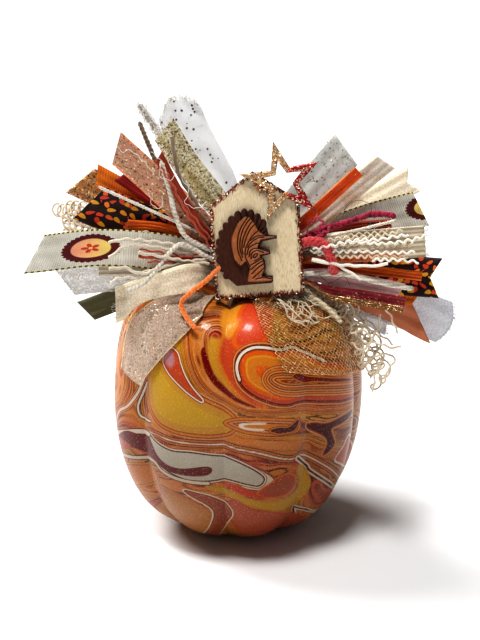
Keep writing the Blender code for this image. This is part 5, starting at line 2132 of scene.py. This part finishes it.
@dataclass(frozen=True)
class Tangle:
    """Curly lace threads that lie tangled on the shoulder under the tag."""

    name: str = "shoulder_tangle"
    count: int = 26
    radius: float = 0.34
    steps: int = 44
    stride: float = 1.1
    level_stride: float = 0.008

    def build(self) -> bpy.types.Object:
        """Tangles the threads and hands them over as one piece.

        Returns:
            The tangle.
        """
        chance = Random(self.name)
        routes = []
        for _ in range(self.count):
            across = chance.uniform(36, 64)
            level = chance.uniform(1.0, 1.13)
            heading = chance.uniform(0, math.tau)
            route = []
            for k in range(self.steps):
                heading += chance.uniform(-0.35, 0.62)
                across += math.cos(heading) * self.stride
                level += math.sin(heading) * self.level_stride
                lift = 2.2 + 1.1 * math.sin(k * 0.31 + across)
                level = min(max(level, 0.95), 1.16)
                across = min(max(across, 30.0), 72.0)
                route.append(Vector(SKIN.point(across, level, lift, grooved=False)))
            routes.append(route)
        obj = MAKER.threads(self.name, routes, self.radius, 1)
        return MAKER.keep(obj, FIBRES["beige_thread"].make(), "beige_lace")


@dataclass(frozen=True)
class Bead:
    """The small dark bead on the rust strip."""

    pixel: Place = (370.6, 223.6)
    layer: float = 4.6
    ring: float = 1.7
    bore: float = 0.8

    def build(self) -> bpy.types.Object:
        """Turns the bead and hands it over.

        Returns:
            The bead.
        """
        u, v, _ = BOW.from_pixel(self.pixel)
        middle = BOW.fan(u, v, self.layer, 1.4)
        wall = (self.ring - self.bore) / 2
        bm = grid(28, 14, lambda across, along: (
            middle + Vector((math.cos(math.tau * across), 0, math.sin(math.tau * across)))
            * (self.bore + wall + wall * math.cos(math.tau * along))
            + Vector((0, wall * 1.3 * math.sin(math.tau * along), 0))))
        weld(bm, 0.01)
        obj = MAKER.mesh("dark_bead", bm)
        bench = NodeBench("dark_bead")
        bench.dress(Base_Color=paint(44, 48, 66), Roughness=0.25)
        return MAKER.keep(obj, bench.material, "rust_trim")


@dataclass(frozen=True)
class WoodTag:
    """A flat wooden cut-out in the bow's plane, with a soft upper edge and a relief.

    The mesh carries "rim", the distance from its edge in millimetres, "rise", the height over
    its back, "tone" and "groove". Its points keep clear of the rim by rim_gap, and its rows lie
    row_step apart, both in shares of the spacing.
    """

    name: str
    centre: Place
    back: float
    thick: float
    spacing: float
    rounding: float
    slot: str
    rim_gap: float = 0.45
    row_step: float = 0.87
    groove_margin: float = 0.4
    flake_size: float = 0.34

    def outline(self) -> list[Vector]:
        """Gives the corners of the cut-out about its centre."""
        raise NotImplementedError

    def hole(self) -> list[Vector]:
        """Gives the corners of the hole, or none."""
        return []

    def relief(self, spots: np.ndarray) -> np.ndarray:
        """Says how deep the surface is cut at each spot, in millimetres."""
        return np.zeros(len(spots))

    def tone(self, spots: np.ndarray) -> np.ndarray:
        """Gives each spot the number that the finish reads as its tone."""
        return np.zeros(len(spots))

    def material(self) -> bpy.types.Material:
        """Makes the tag's finish."""
        raise NotImplementedError

    def place(self, spot: Sequence[float], out: float) -> Vector:
        """Gives the place of a spot of the tag at a height over its back."""
        return BOW.plain(self.centre[0] + spot[0], self.centre[1] + spot[1], self.back + out)

    @staticmethod
    def dense(corners: Sequence[Vector], spacing: float) -> list[Vector]:
        """Splits a closed line's sides into steps of about the spacing.

        Args:
            corners: The line's corners.
            spacing: The steps' length.

        Returns:
            The line's points.
        """
        points = []
        for start, end in zip(corners, [*corners[1:], corners[0]]):
            count = max(round((end - start).length / spacing), 1)
            points += [start.lerp(end, k / count) for k in range(count)]
        return points

    def edge_distance(self, spots: np.ndarray) -> np.ndarray:
        """Measures each spot's distance from the outline and the hole.

        Args:
            spots: The spots about the centre, one row each.

        Returns:
            The distances in millimetres.
        """
        loops = [loop for loop in (self.outline(), self.hole()) if loop]
        return np.minimum.reduce([line_distance(spots, closed_line(loop)) for loop in loops])

    def covers(self, spots: np.ndarray) -> np.ndarray:
        """Says which spots lie on the wood, inside the outline and outside the hole."""
        inside = within(spots, closed_line(self.outline()))
        return inside & ~within(spots, closed_line(self.hole())) if self.hole() else inside

    def soft_edge(self, far: np.ndarray) -> np.ndarray:
        """Says how far the rounded upper edge lies below the face at a distance from the rim."""
        share = np.clip(far / self.rounding, 0, 1)
        return self.rounding * (1 - np.sqrt(1 - (1 - share) ** 2))

    def build(self) -> bpy.types.Object:
        """Cuts the tag out of its board and hands it over.

        Returns:
            The finished tag.
        """
        loops = [self.dense(self.outline(), self.spacing)]
        if self.hole():
            loops.append(self.dense(self.hole(), self.spacing))
        rim = np.array([point[:2] for point in loops[0]])
        low = rim.min(axis=0)
        high = rim.max(axis=0)
        columns = np.arange(low[0], high[0], self.spacing)
        rows = np.arange(low[1], high[1], self.spacing * self.row_step)
        spots = np.array([(x + (k % 2) * self.spacing / 2, y) for k, y in enumerate(rows)
                          for x in columns])
        keep = self.covers(spots) & (self.edge_distance(spots) > self.spacing * self.rim_gap)
        flat = [Vector(point[:2]) for loop in loops for point in loop]
        flat += [Vector(point) for point in spots[keep]]
        sides = []
        start = 0
        for loop in loops:
            count = len(loop)
            sides += [(start + k, start + (k + 1) % count) for k in range(count)]
            start += count
        points, _, faces, *_ = delaunay_2d_cdt(flat, sides, [], 2, 1e-5)
        surface = np.array([point[:] for point in points])
        if self.hole():
            middles = np.array([surface[list(face)].mean(axis=0) for face in faces])
            faces = [face for face, whole in zip(faces, self.covers(middles)) if whole]
        far = self.edge_distance(surface)
        cut = self.relief(surface)
        height = self.thick - self.soft_edge(far) - cut * np.clip(far / self.groove_margin, 0, 1)
        bm = bmesh.new()
        rise, *layers = [bm.verts.layers.float.new(name) for name in ("rise", "rim", "tone", "groove")]
        upper = []
        lower = []
        for spot, top, *values in zip(surface, height, far, self.tone(surface), cut):
            for verts, out in ((upper, top), (lower, 0.0)):
                vert = bm.verts.new(self.place(spot, out))
                vert[rise] = out
                for layer, value in zip(layers, values):
                    vert[layer] = value
                verts.append(vert)
        sides = set()
        for face in faces:
            bm.faces.new([upper[k] for k in face])
            bm.faces.new([lower[k] for k in reversed(face)])
            sides ^= {frozenset(side) for side in zip(face, [*face[1:], face[0]])}
        for a, b in sorted(tuple(sorted(side)) for side in sides):
            bm.faces.new((upper[b], upper[a], lower[a], lower[b]))
        bmesh.ops.recalc_face_normals(bm, faces=bm.faces)
        obj = MAKER.mesh(self.name + "_wood", bm, sharp=50)
        return MAKER.keep(obj, self.material(), self.slot, self.name)

    def flakes(self, spots: Sequence[Place], tone: Callable[[Random, float], float]) -> bpy.types.Object:
        """Sprinkles glitter flakes on the tag's face.

        Args:
            spots: The flakes' spots about the tag's centre.
            tone: Gives a flake's tone from a chance and its spot's x.

        Returns:
            The flakes as one piece.
        """
        chance = Random(self.name)
        drop = self.soft_edge(self.edge_distance(np.array(spots)))
        bm = bmesh.new()
        layer = bm.verts.layers.float.new("tone")
        for spot, down in zip(spots, drop):
            tilt = Vector((chance.gauss(0, 0.45), chance.gauss(0, 0.45), 1)).normalized()
            side = tilt.orthogonal().normalized()
            other = tilt.cross(side)
            reach = self.flake_size * chance.uniform(0.6, 1.5)
            turn = chance.uniform(0, math.tau)
            shade = tone(chance, spot[0])
            verts = []
            for k in range(6):
                angle = turn + math.tau * k / 6
                local = side * (reach * math.cos(angle)) + other * (reach * math.sin(angle))
                place = self.place((spot[0] + local.x, spot[1] + local.y),
                                   self.thick - down + 0.08 + local.z * 0.6)
                verts.append(bm.verts.new(place))
                verts[-1][layer] = shade
            bm.faces.new(verts)
        obj = MAKER.mesh(self.name + "_glitter", bm, smooth=False)
        return MAKER.keep(obj, glitter_finish(), self.slot)


@cache
def glitter_finish() -> bpy.types.Material:
    """Makes the glitter's finish, whose tone runs from burgundy over copper to white gold.

    Returns:
        The material.
    """
    bench = NodeBench("glitter_flakes")
    tone = bench.number("tone")
    colour = bench.ramp(tone, ((0.0, paint(112, 34, 38)), (0.3, paint(198, 96, 90)),
                               (0.55, paint(218, 166, 122)), (0.8, paint(238, 222, 182)),
                               (1.0, paint(255, 252, 240))))
    bench.dress(Base_Color=colour.outputs[0], Metallic=0.7, Roughness=0.28)
    return bench.material


def scatter(chance: Random, count: int, low: Place, high: Place,
            chosen: Callable[[np.ndarray], np.ndarray]) -> list[tuple[float, float]]:
    """Scatters spots in a box and keeps those that are chosen.

    Args:
        chance: The source of chance.
        count: How many spots are tried.
        low: The box's lower left corner.
        high: Its upper right corner.
        chosen: Says how likely each spot is to stay, 0 to 1.

    Returns:
        The spots that stay.
    """
    spots = np.array([(chance.uniform(low[0], high[0]), chance.uniform(low[1], high[1]))
                      for _ in range(count)])
    share = chosen(spots)
    return [tuple(spot) for spot, wish in zip(spots, share) if chance.random() < wish]


def turned(point: Place, angle: float) -> Vector:
    """Turns a point about its centre by an angle in degrees."""
    turn = math.radians(angle)
    return Vector((point[0] * math.cos(turn) - point[1] * math.sin(turn),
                   point[0] * math.sin(turn) + point[1] * math.cos(turn)))


@dataclass(frozen=True)
class HouseTag(WoodTag):
    """The pale house with its burnt and glittered edge."""

    width: float = 41.4
    wall: float = 43.0
    peak: float = 57.5
    turn: float = 3.7

    def outline(self) -> list[Vector]:
        """Gives the two walls and the gable.

        Returns:
            The corners about the tag's centre.
        """
        half = self.width / 2
        corners = ((-half, 0), (half, 0), (half, self.wall), (0, self.peak), (-half, self.wall))
        return [turned(corner, self.turn) for corner in corners]

    def tone(self, spots: np.ndarray) -> np.ndarray:
        """Rises where the glitter is thick: on the gable's right slope, under the star."""
        peak = turned((5.5, self.peak - 5.5), self.turn)
        return np.clip(1.25 - np.hypot(spots[:, 0] - peak.x, spots[:, 1] - peak.y) / 6.0, 0, 1)

    def material(self) -> bpy.types.Material:
        """Makes pale grained wood with a dark ragged edge.

        Returns:
            The material.
        """
        bench = NodeBench(self.slot)
        place = bench.object_place()
        upright = bench.upright(0.035)
        fine = bench.noise(upright, 0.0006, 2.0)
        wide = bench.noise(upright, 0.004, 2.0)
        grain = bench.mix(bench.span(fine, 0.38, 0.68), paint(228, 212, 182), paint(208, 188, 154))
        grain = bench.mix(bench.span(wide, 0.4, 0.7, 0, 0.5), grain, paint(206, 184, 148))
        flecks = bench.times(bench.span(fine, 0.66, 0.72), 0.28)
        grain = bench.mix(flecks, grain, paint(128, 98, 70))
        rim = bench.number("rim")
        ragged = bench.plus(rim, bench.span(fine, 0.3, 0.7, -1.1, 1.1))
        burnt = bench.span(ragged, 1.0, 2.2, 1, 0)
        patch = bench.noise(place, 0.003, 2.0)
        char = bench.mix(bench.span(patch, 0.4, 0.6), paint(74, 40, 26), paint(112, 42, 34))
        colour = bench.mix(burnt, grain, char)
        thick = bench.span(bench.number("tone"), 0.3, 0.5)
        colour = bench.mix(thick, colour, paint(196, 140, 92))
        side = bench.span(bench.number("rise"), self.thick - 1.3, self.thick - 0.5, 1, 0)
        colour = bench.mix(side, colour, paint(52, 32, 22))
        bench.dress(Base_Color=colour, Roughness=0.75, Specular_IOR_Level=0.25)
        bench.bump(fine, 0.15, 0.6)
        return bench.material

    def sprinkle(self) -> bpy.types.Object:
        """Sprinkles the edge with glitter, thickest on the left wall and the roof.

        Returns:
            The flakes.
        """
        chance = Random("house glitter")
        half = self.width / 2

        def chosen(spots: np.ndarray) -> np.ndarray:
            """Says how likely each spot is to hold a flake.

            Args:
                spots: The spots about the tag's centre, one row each.

            Returns:
                The chances, 0 or more.
            """
            near = np.clip(1.9 - self.edge_distance(spots), 0, 1) ** 1.5
            left = np.where(spots[:, 0] < 0, 1.0, 0.3) * np.where(spots[:, 1] < 3, 0.35, 1.0)
            return np.where(self.covers(spots), np.maximum(near * left, self.tone(spots) * 1.4), 0)

        spots = scatter(chance, 7200, (-half - 4, -2), (half + 4, self.peak + 2), chosen)
        return self.flakes(spots, lambda luck, x: min(1.0, max(0.0, luck.gauss(0.66, 0.32))))


@dataclass(frozen=True)
class StarTag(WoodTag):
    """The open star, red on the right and golden on the left, covered in glitter."""

    tips: tuple[Place, ...] = ((103.9, 18.7), (29.4, 18.8), (-40.7, 19.9), (-112.5, 18.5), (-189.6, 20.2))
    notch: float = 7.4
    hole_tip: float = 9.8
    hole_notch: float = 4.5

    def ring(self, tips: Sequence[float], notch: float) -> list[Vector]:
        """Gives the ten corners of a star with the given tips and notches.

        Args:
            tips: How far out each tip is.
            notch: How far out the notches are.

        Returns:
            The corners about the tag's centre.
        """
        corners = []
        for k, (angle, _) in enumerate(self.tips):
            after = self.tips[(k + 1) % 5][0] - (360 if k == 4 else 0)
            corners.append(turned((tips[k], 0), angle))
            corners.append(turned((notch, 0), (angle + after) / 2))
        return corners

    def outline(self) -> list[Vector]:
        """Gives the star's outer corners."""
        return self.ring([reach for _, reach in self.tips], self.notch)

    def hole(self) -> list[Vector]:
        """Gives the corners of the star's opening."""
        return self.ring([self.hole_tip] * 5, self.hole_notch)

    def tone(self, spots: np.ndarray) -> np.ndarray:
        """Falls from peach at the top and gold at the left to crimson at the right.

        Args:
            spots: The spots about the tag's centre, one row each.

        Returns:
            The tones, 0 to 1.
        """
        right = np.clip((spots[:, 0] - 1.0) / 4.0, 0, 1)
        lower = np.clip((12.0 - spots[:, 1]) / 5.0, 0, 1)
        return 1 - right * np.maximum(lower, 0.15)

    def material(self) -> bpy.types.Material:
        """Makes the glitter paint over dark burnt sides.

        Returns:
            The material.
        """
        bench = NodeBench(self.slot)
        tone = bench.number("tone")
        base = bench.ramp(tone, ((0.0, paint(170, 34, 44)), (0.5, paint(196, 72, 60)),
                                 (0.75, paint(212, 138, 98)), (1.0, paint(206, 158, 108))))
        spark = bench.sparks(0.0006)
        light = bench.span(spark[0], 0.72, 0.8, 0, 0.8)
        colour = bench.mix(light, base.outputs[0], paint(248, 226, 190))
        dark = bench.span(spark[1], 0.8, 0.9, 0, 0.6)
        colour = bench.mix(dark, colour, paint(96, 36, 30))
        rim = bench.span(bench.number("rim"), 0.05, 0.4, 0.75, 0)
        colour = bench.mix(rim, colour, paint(110, 44, 34))
        side = bench.span(bench.number("rise"), self.thick - 1.1, self.thick - 0.4, 1, 0)
        colour = bench.mix(side, colour, paint(48, 22, 18))
        shine = bench.span(side, 0, 1, 0.45, 0)
        bench.dress(Base_Color=colour, Roughness=0.4, Metallic=shine)
        bench.bump(spark[2], 0.12, 0.6)
        return bench.material

    def sprinkle(self) -> bpy.types.Object:
        """Sprinkles the star with glitter.

        Returns:
            The flakes.
        """
        chance = Random("star glitter")

        def chosen(spots: np.ndarray) -> np.ndarray:
            """Says how likely each spot is to hold a flake."""
            return np.where(self.covers(spots), np.clip(0.5 - spots[:, 0] / 16, 0.22, 1), 0)

        def tone(luck: Random, x: float) -> float:
            """Gives a flake's tone: white gold by chance, else by its side.

            Args:
                luck: The source of chance.
                x: How far right of the centre the flake lies.

            Returns:
                The tone, 0 to 1.
            """
            if luck.random() < 0.45:
                return luck.uniform(0.75, 1.0)
            return min(1.0, max(0.0, luck.gauss(0.62 if x < 1 else 0.2, 0.14)))

        spots = scatter(chance, 2600, (-21, -19), (20, 20), chosen)
        return self.flakes(spots, tone)


QUILL_START = 232.0
QUILL_END = 42.0
QUILL_COUNT = 13
FACE_LINE = (
    (9.6, 7.4), (13.4, 6.9), (13.4, 5.6), (7.0, 4.2), (5.5, 1.4), (10.2, 0.2), (10.5, -1.6),
    (6.4, -2.5), (7.8, -4.2), (8.5, -8.2), (7.3, -11.0), (11.6, -11.4), (11.8, -14.0),
    (11.0, -14.8), (-5.0, -16.2),
)
TAN_LINE = (
    (-1.2, 15.4), (-4.6, 12.3), (-7.3, 6.4), (-7.5, 2.3), (-6.1, -4.1), (-3.2, -7.1),
    (-0.9, -5.0), (0.9, -8.2), (0.0, -14.4), (10.8, -13.9), (11.2, -12.3), (6.6, -11.7),
    (7.8, -8.2), (7.0, -4.0), (5.6, -2.1), (9.8, -1.2), (9.6, -0.3), (4.7, 1.0), (6.0, 4.8),
    (12.7, 6.1), (12.6, 6.5), (8.4, 6.7), (5.0, 9.0), (3.2, 12.2), (1.0, 15.0),
)
# The grooves of the hedgehog's front, in millimetres about the tag's centre
SWIRLS = (
    ((0.3, 15.6), (-3.2, 10.2), (-4.6, 5.0), (-4.4, -0.1), (-2.6, -4.7)),
    ((1.8, 15.4), (-1.6, 10.7), (-3.3, 5.5), (-3.5, 0.9), (-2.3, -3.2)),
    ((3.0, 14.4), (0.2, 10.7), (-2.1, 5.5), (-2.6, 1.4), (-2.1, -1.7)),
    ((4.1, 12.8), (1.2, 9.7), (-1.0, 5.0), (-1.8, 1.4)),
    ((5.4, 9.6), (2.4, 6.9), (0.2, 3.6), (-1.1, 0.2), (-0.8, -3.6), (1.2, -7.4)),
    ((1.2, 4.6), (4.3, 6.6), (8.4, 6.6), (11.6, 6.6)),
    ((-0.1, 1.4), (1.8, 3.9), (4.8, 5.7), (7.4, 5.9)),
    ((-0.4, -2.0), (0.6, 1.2), (3.4, 2.9), (5.6, 3.6)),
    ((0.6, -3.0), (1.4, 0.1), (4.4, 1.0), (9.4, -0.4)),
    ((1.6, -3.8), (1.9, -1.2), (4.2, 0.0), (7.4, -0.9)),
    ((2.6, -3.4), (2.9, -1.9), (4.6, -1.5), (3.6, -3.0), (2.6, -3.4)),
    ((3.3, -4.7), (5.8, -3.2), (7.2, -1.9)),
    ((1.4, -6.6), (3.9, -5.2), (7.6, -3.0)),
    ((1.5, -8.7), (4.3, -6.3), (7.8, -4.2)),
    ((1.8, -10.7), (4.8, -7.8), (8.0, -5.6)),
    ((2.4, -12.6), (5.4, -9.9), (7.8, -7.6)),
    ((3.8, -13.0), (7.4, -12.4), (10.8, -12.9)),
)


@dataclass(frozen=True)
class HedgehogLayer(WoodTag):
    """One of the two wooden layers of the hedgehog."""

    dark: Colour = (0.0, 0.0, 0.0, 1.0)
    light: Colour = (0.0, 0.0, 0.0, 1.0)

    def material(self) -> bpy.types.Material:
        """Makes stained wood with darker grooves and burnt sides.

        Returns:
            The material.
        """
        bench = NodeBench(self.slot)
        grain = bench.noise(bench.upright(0.2), 0.0008, 3.0)
        colour = bench.mix(bench.span(grain, 0.35, 0.7), self.light, self.dark)
        groove = bench.span(bench.number("groove"), 0.1, 0.45)
        colour = bench.mix(groove, colour, paint(46, 22, 14))
        rim = bench.span(bench.number("rim"), 0.1, 0.5, 0.6, 0)
        colour = bench.mix(rim, colour, paint(40, 16, 12))
        side = bench.span(bench.number("rise"), self.thick - 0.9, self.thick - 0.3, 1, 0)
        colour = bench.mix(side, colour, paint(34, 16, 12))
        bench.dress(Base_Color=colour, Roughness=0.45, Specular_IOR_Level=0.4)
        bench.bump(grain, 0.1, 0.4)
        return bench.material


class HedgehogBack(HedgehogLayer):
    """The dark back with its scalloped edge."""

    def outline(self) -> list[Vector]:
        """Gives the scallops and the line of the face.

        Returns:
            The corners about the tag's centre.
        """
        points = []
        for k in range(QUILL_COUNT * 6 + 1):
            angle = math.radians(QUILL_START + (QUILL_END - QUILL_START) * k / (QUILL_COUNT * 6))
            scallop = 1.5 * (abs(math.sin(math.pi * k / 6)) ** 0.8 - 0.5)
            top = 1.4 * max(math.sin(angle), 0) ** 6
            points.append(Vector((-0.9 + (13.4 + scallop) * math.cos(angle),
                                  (17.2 + scallop + top) * math.sin(angle))))
        return points + [Vector(point) for point in FACE_LINE]

    def relief(self, spots: np.ndarray) -> np.ndarray:
        """Cuts short grooves that fan out over the brow.

        Args:
            spots: The spots about the tag's centre, one row each.

        Returns:
            The depths in millimetres.
        """
        angle = np.arctan2(spots[:, 1] - 2.0, spots[:, 0] - 1.0)
        reach = np.hypot(spots[:, 0] - 1.0, spots[:, 1] - 2.0)
        brow = np.clip((angle - 0.5) * 4, 0, 1) * np.clip((2.1 - angle) * 4, 0, 1)
        brow *= np.clip((reach - 5.5) / 2, 0, 1)
        lines = np.clip((np.cos(angle * 34) - 0.25) / 0.5, 0, 1)
        return 0.5 * brow * lines


class HedgehogFront(HedgehogLayer):
    """The tan front with its swirls."""

    def outline(self) -> list[Vector]:
        """Gives the soft outline of the front.

        Returns:
            The corners about the tag's centre.
        """
        corners = [Vector(point) for point in TAN_LINE]
        points = []
        for k in range(len(corners)):
            a, b, c, d = (corners[(k + step) % len(corners)] for step in (-1, 0, 1, 2))
            for t in (0.0, 0.33, 0.67):
                points.append(bent(a, b, c, d, t).lerp(b.lerp(c, t), 0.5))
        return points

    def relief(self, spots: np.ndarray) -> np.ndarray:
        """Cuts the swirls.

        Args:
            spots: The spots about the tag's centre, one row each.

        Returns:
            The depths in millimetres.
        """
        lines = [np.array([point[:2] for point in smooth_curve(swirl, 24)]) for swirl in SWIRLS]
        far = np.minimum.reduce([line_distance(spots, line) for line in lines])
        return 0.55 * np.exp(-((far / 0.3) ** 2))


HOUSE = HouseTag("house_tag", (1.2, -14.8), 18.2, 3.4, 1.0, 0.5, "natural_wood")
STAR = StarTag("star_outline", (11.4, 37.6), 21.9, 2.4, 0.6, 0.4, "glitter_wood")
HEDGEHOG_BACK = HedgehogBack("hedgehog_back", (-4.6, 6.4), 21.9, 1.9, 0.4, 0.3, "dark_wood",
                             dark=paint(60, 30, 18), light=paint(86, 46, 28))
HEDGEHOG_FRONT = HedgehogFront("hedgehog_front", (-4.6, 6.4), 24.1, 1.6, 0.3, 0.3, "tan_wood",
                               dark=paint(146, 86, 50), light=paint(176, 112, 68))


@dataclass(frozen=True)
class Knot:
    """The gathered middle of the bow, wrapped with twine, behind the tag."""

    half_width: float = 10.0
    top: float = 11.0
    bottom: float = -14.0
    back: float = -12.0
    front: float = 17.9
    pleats: int = 9
    squareness: float = 0.45
    wraps: int = 4
    wrap_rise: float = 0.045

    def surface(self, across: float, along: float, proud: float = 0.0) -> Vector:
        """Gives a point of the knot: round its girth, and from its foot to its top.

        Args:
            across: The share round the girth, starting at the back.
            along: The share from the lower middle, over the side, to the upper middle.
            proud: How far outside the knot the point lies.

        Returns:
            The point.
        """
        angle = math.tau * across
        half_depth = (self.front - self.back) / 2
        half_rise = (self.top - self.bottom) / 2
        lean = math.pi * (along - 0.5)
        flat = abs(math.cos(lean)) ** 0.3
        side = math.copysign(abs(math.sin(angle)) ** self.squareness, math.sin(angle))
        deep = math.copysign(abs(math.cos(angle)) ** self.squareness, -math.cos(angle))
        pinch = 1 - 0.12 * math.cos(lean) ** 4
        pleat = 0.35 * math.sin(self.pleats * angle + 2.0 * math.sin(3 * lean)) * math.cos(lean)
        rise = math.copysign(abs(math.sin(lean)) ** self.squareness, math.sin(lean))
        x = (self.half_width * pinch - 0.4 + pleat + proud) * side * flat
        out = (half_depth - 0.3 + proud) * deep * flat + (self.front + self.back) / 2
        up = (half_rise - 0.2 + proud) * rise + (self.top + self.bottom) / 2
        return BOW.plain(x, up, out)

    def build(self) -> bpy.types.Object:
        """Gathers the knot and hands it over.

        Returns:
            The knot.
        """
        bm = grid(96, 56, self.surface)
        weld(bm, 0.01)
        obj = MAKER.mesh("bow_knot_cloth", bm)
        bench = NodeBench("knot_fabric")
        place = bench.object_place()
        weave = bench.cells(place, 0.0007).outputs["Distance"]
        folds = bench.noise(place, 0.006, 3.0)
        colour = bench.mix(bench.span(folds, 0.35, 0.65), paint(202, 184, 154), paint(160, 138, 106))
        bench.dress(Base_Color=bench.mix(bench.span(weave, 0.2, 0.6, 0, 0.4), colour, paint(120, 98, 72)),
                    Roughness=0.9, Sheen_Weight=0.4)
        bench.bump(weave, 0.15, 0.5)
        MAKER.keep(obj, bench.material, "knot_fabric", "bow_knot")
        routes = []
        for turn in range(self.wraps):
            route = []
            for k in range(97):
                along = 0.5 + self.wrap_rise * (turn - (self.wraps - 1) / 2)
                along += 0.02 * math.sin(math.tau * k / 96 + turn)
                route.append(self.surface(k / 96, along, 0.25))
            routes.append(route)
        wrap = MAKER.threads("bow_knot_wrap", routes, 0.55, 2)
        MAKER.keep(wrap, FIBRES["jute"].make(), "knot_fabric")
        return obj


@dataclass(frozen=True)
class Stem:
    """The ridged stem stub in the dimple, cut along the underside of the knot."""

    radius: float = 7.2
    waist: float = 6.2
    waist_rise: float = 4.5
    waist_centre: Place = (2.0, -2.5)
    top_centre: Place = (5.0, -6.0)
    ridges: int = 7
    ridge_height: float = 0.45

    def build(self) -> bpy.types.Object:
        """Grows the stem and hands it over.

        Returns:
            The stem.
        """
        base = SKIN.floor_height + 0.3
        under = Knot.bottom - 0.3

        def place(across: float, along: float) -> Vector:
            """Gives a point of the stem: its foot's face, its side, then the face of its cut.

            Args:
                across: The share round the stem.
                along: The share from the middle of the foot to the middle of the cut.

            Returns:
                The point.
            """
            share = min(along, 1 - along) * 4
            part = max(0.0, min(1.0, (along - 0.25) * 2))
            angle = math.tau * across
            centre = Vector((0, 0)).lerp(Vector(self.waist_centre), min(part * 2, 1))
            centre = centre.lerp(Vector(self.top_centre), max(part * 2 - 1, 0))
            size = self.radius + (self.waist - self.radius) * min(part * 2, 1)
            ridge = self.ridge_height * (math.cos(self.ridges * (angle + part)) - 1) / 2
            size = (size + ridge) * min(share, 1.0)
            x = centre.x + size * math.cos(angle)
            y = centre.y + size * math.sin(angle)
            backward = (y - BOW.centre[1]) * math.sin(BOW.lean)
            cut = BOW.centre[2] + (under - backward) / math.cos(BOW.lean)
            waist = base + self.waist_rise
            low = base + (waist - base) * min(part * 2, 1)
            return Vector((x, y, low + (cut - low) * max(part * 2 - 1, 0)))

        bm = grid(56, 32, place)
        weld(bm, 0.001)
        obj = MAKER.mesh("stem_wood", bm, sharp=60)
        bench = NodeBench("stem_wood")
        grain = bench.noise(bench.upright(0.2), 0.001, 3.0)
        bench.dress(Base_Color=bench.mix(bench.span(grain, 0.3, 0.7), paint(128, 98, 62), paint(78, 56, 36)),
                    Roughness=0.85)
        bench.bump(grain, 0.4, 0.8)
        return MAKER.keep(obj, bench.material, "stem_wood", "stem")


@dataclass
class Studio:
    """The pale floor, the soft lights and the picture's colours."""

    floor_size: float = 14.0
    sun_strength: float = 3.1
    top_power: float = 8.5
    sky: float = 0.1

    def floor(self) -> None:
        """Lays the floor."""
        bm = bmesh.new()
        bmesh.ops.create_grid(bm, x_segments=1, y_segments=1, size=self.floor_size / 2 / MM)
        obj = MAKER.mesh("studio_floor", bm, smooth=False)
        bench = NodeBench("floor_white")
        bench.dress(Base_Color=(0.92, 0.92, 0.92, 1.0), Roughness=0.9, Specular_IOR_Level=0.1)
        obj.data.materials.append(bench.material)

    @staticmethod
    def lamp(name: str, kind: str, place: Vector, strength: float, width: float) -> None:
        """Hangs one soft light that points at the pumpkin.

        Args:
            name: The light's name.
            kind: AREA or SUN.
            place: Where it hangs, in metres.
            strength: Its power in watts, or a sun's strength.
            width: The side of an area light in metres, or a sun's angle in radians.
        """
        data = bpy.data.lights.new(name, kind)
        data.energy = strength
        if kind == "SUN":
            data.angle = width
        else:
            data.size = width
        obj = placed(name, data)
        obj.location = place
        obj.rotation_euler = (LAMP_AIM - place).to_track_quat("-Z", "Y").to_euler()

    def build(self) -> None:
        """Sets up the floor, the lights, the sky and the picture's colours."""
        self.floor()
        self.lamp("side_sun", "SUN", Vector((-0.62, 0.5, 0.9)), self.sun_strength, math.radians(34))
        self.lamp("top_light", "AREA", Vector((-0.12, -0.24, 1.2)), self.top_power, 0.28)
        world = bpy.data.worlds.new("pale_sky")
        world.use_nodes = True
        sky = world.node_tree.nodes["Background"]
        sky.inputs["Color"].default_value = (1.0, 1.0, 1.0, 1.0)
        sky.inputs["Strength"].default_value = self.sky
        bpy.context.scene.world = world
        bpy.context.scene.view_settings.view_transform = "Standard"
        bpy.context.scene.view_settings.look = "High Contrast"


def main() -> None:
    """Builds the view, the lights and every piece in order."""
    logging.basicConfig(level=logging.INFO, format="%(message)s")
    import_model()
    VIEW.camera()
    Studio().build()
    for part in (*TWINES, Pumpkin(), *RIBBONS, *FRINGES, *LOOSE_THREADS, Tangle(), Bead(), ORGANZA, NET,
                 HOUSE, STAR, HEDGEHOG_BACK, HEDGEHOG_FRONT):
        LOG.info("built %s", part.build().name)
    for tag in (HOUSE, STAR):
        LOG.info("sprinkled %s", tag.sprinkle().name)
    for part in (Knot(), Stem()):
        LOG.info("built %s", part.build().name)
    LOG.info("%d pieces", len(MAKER.made))


if __name__ == "__main__":
    main()
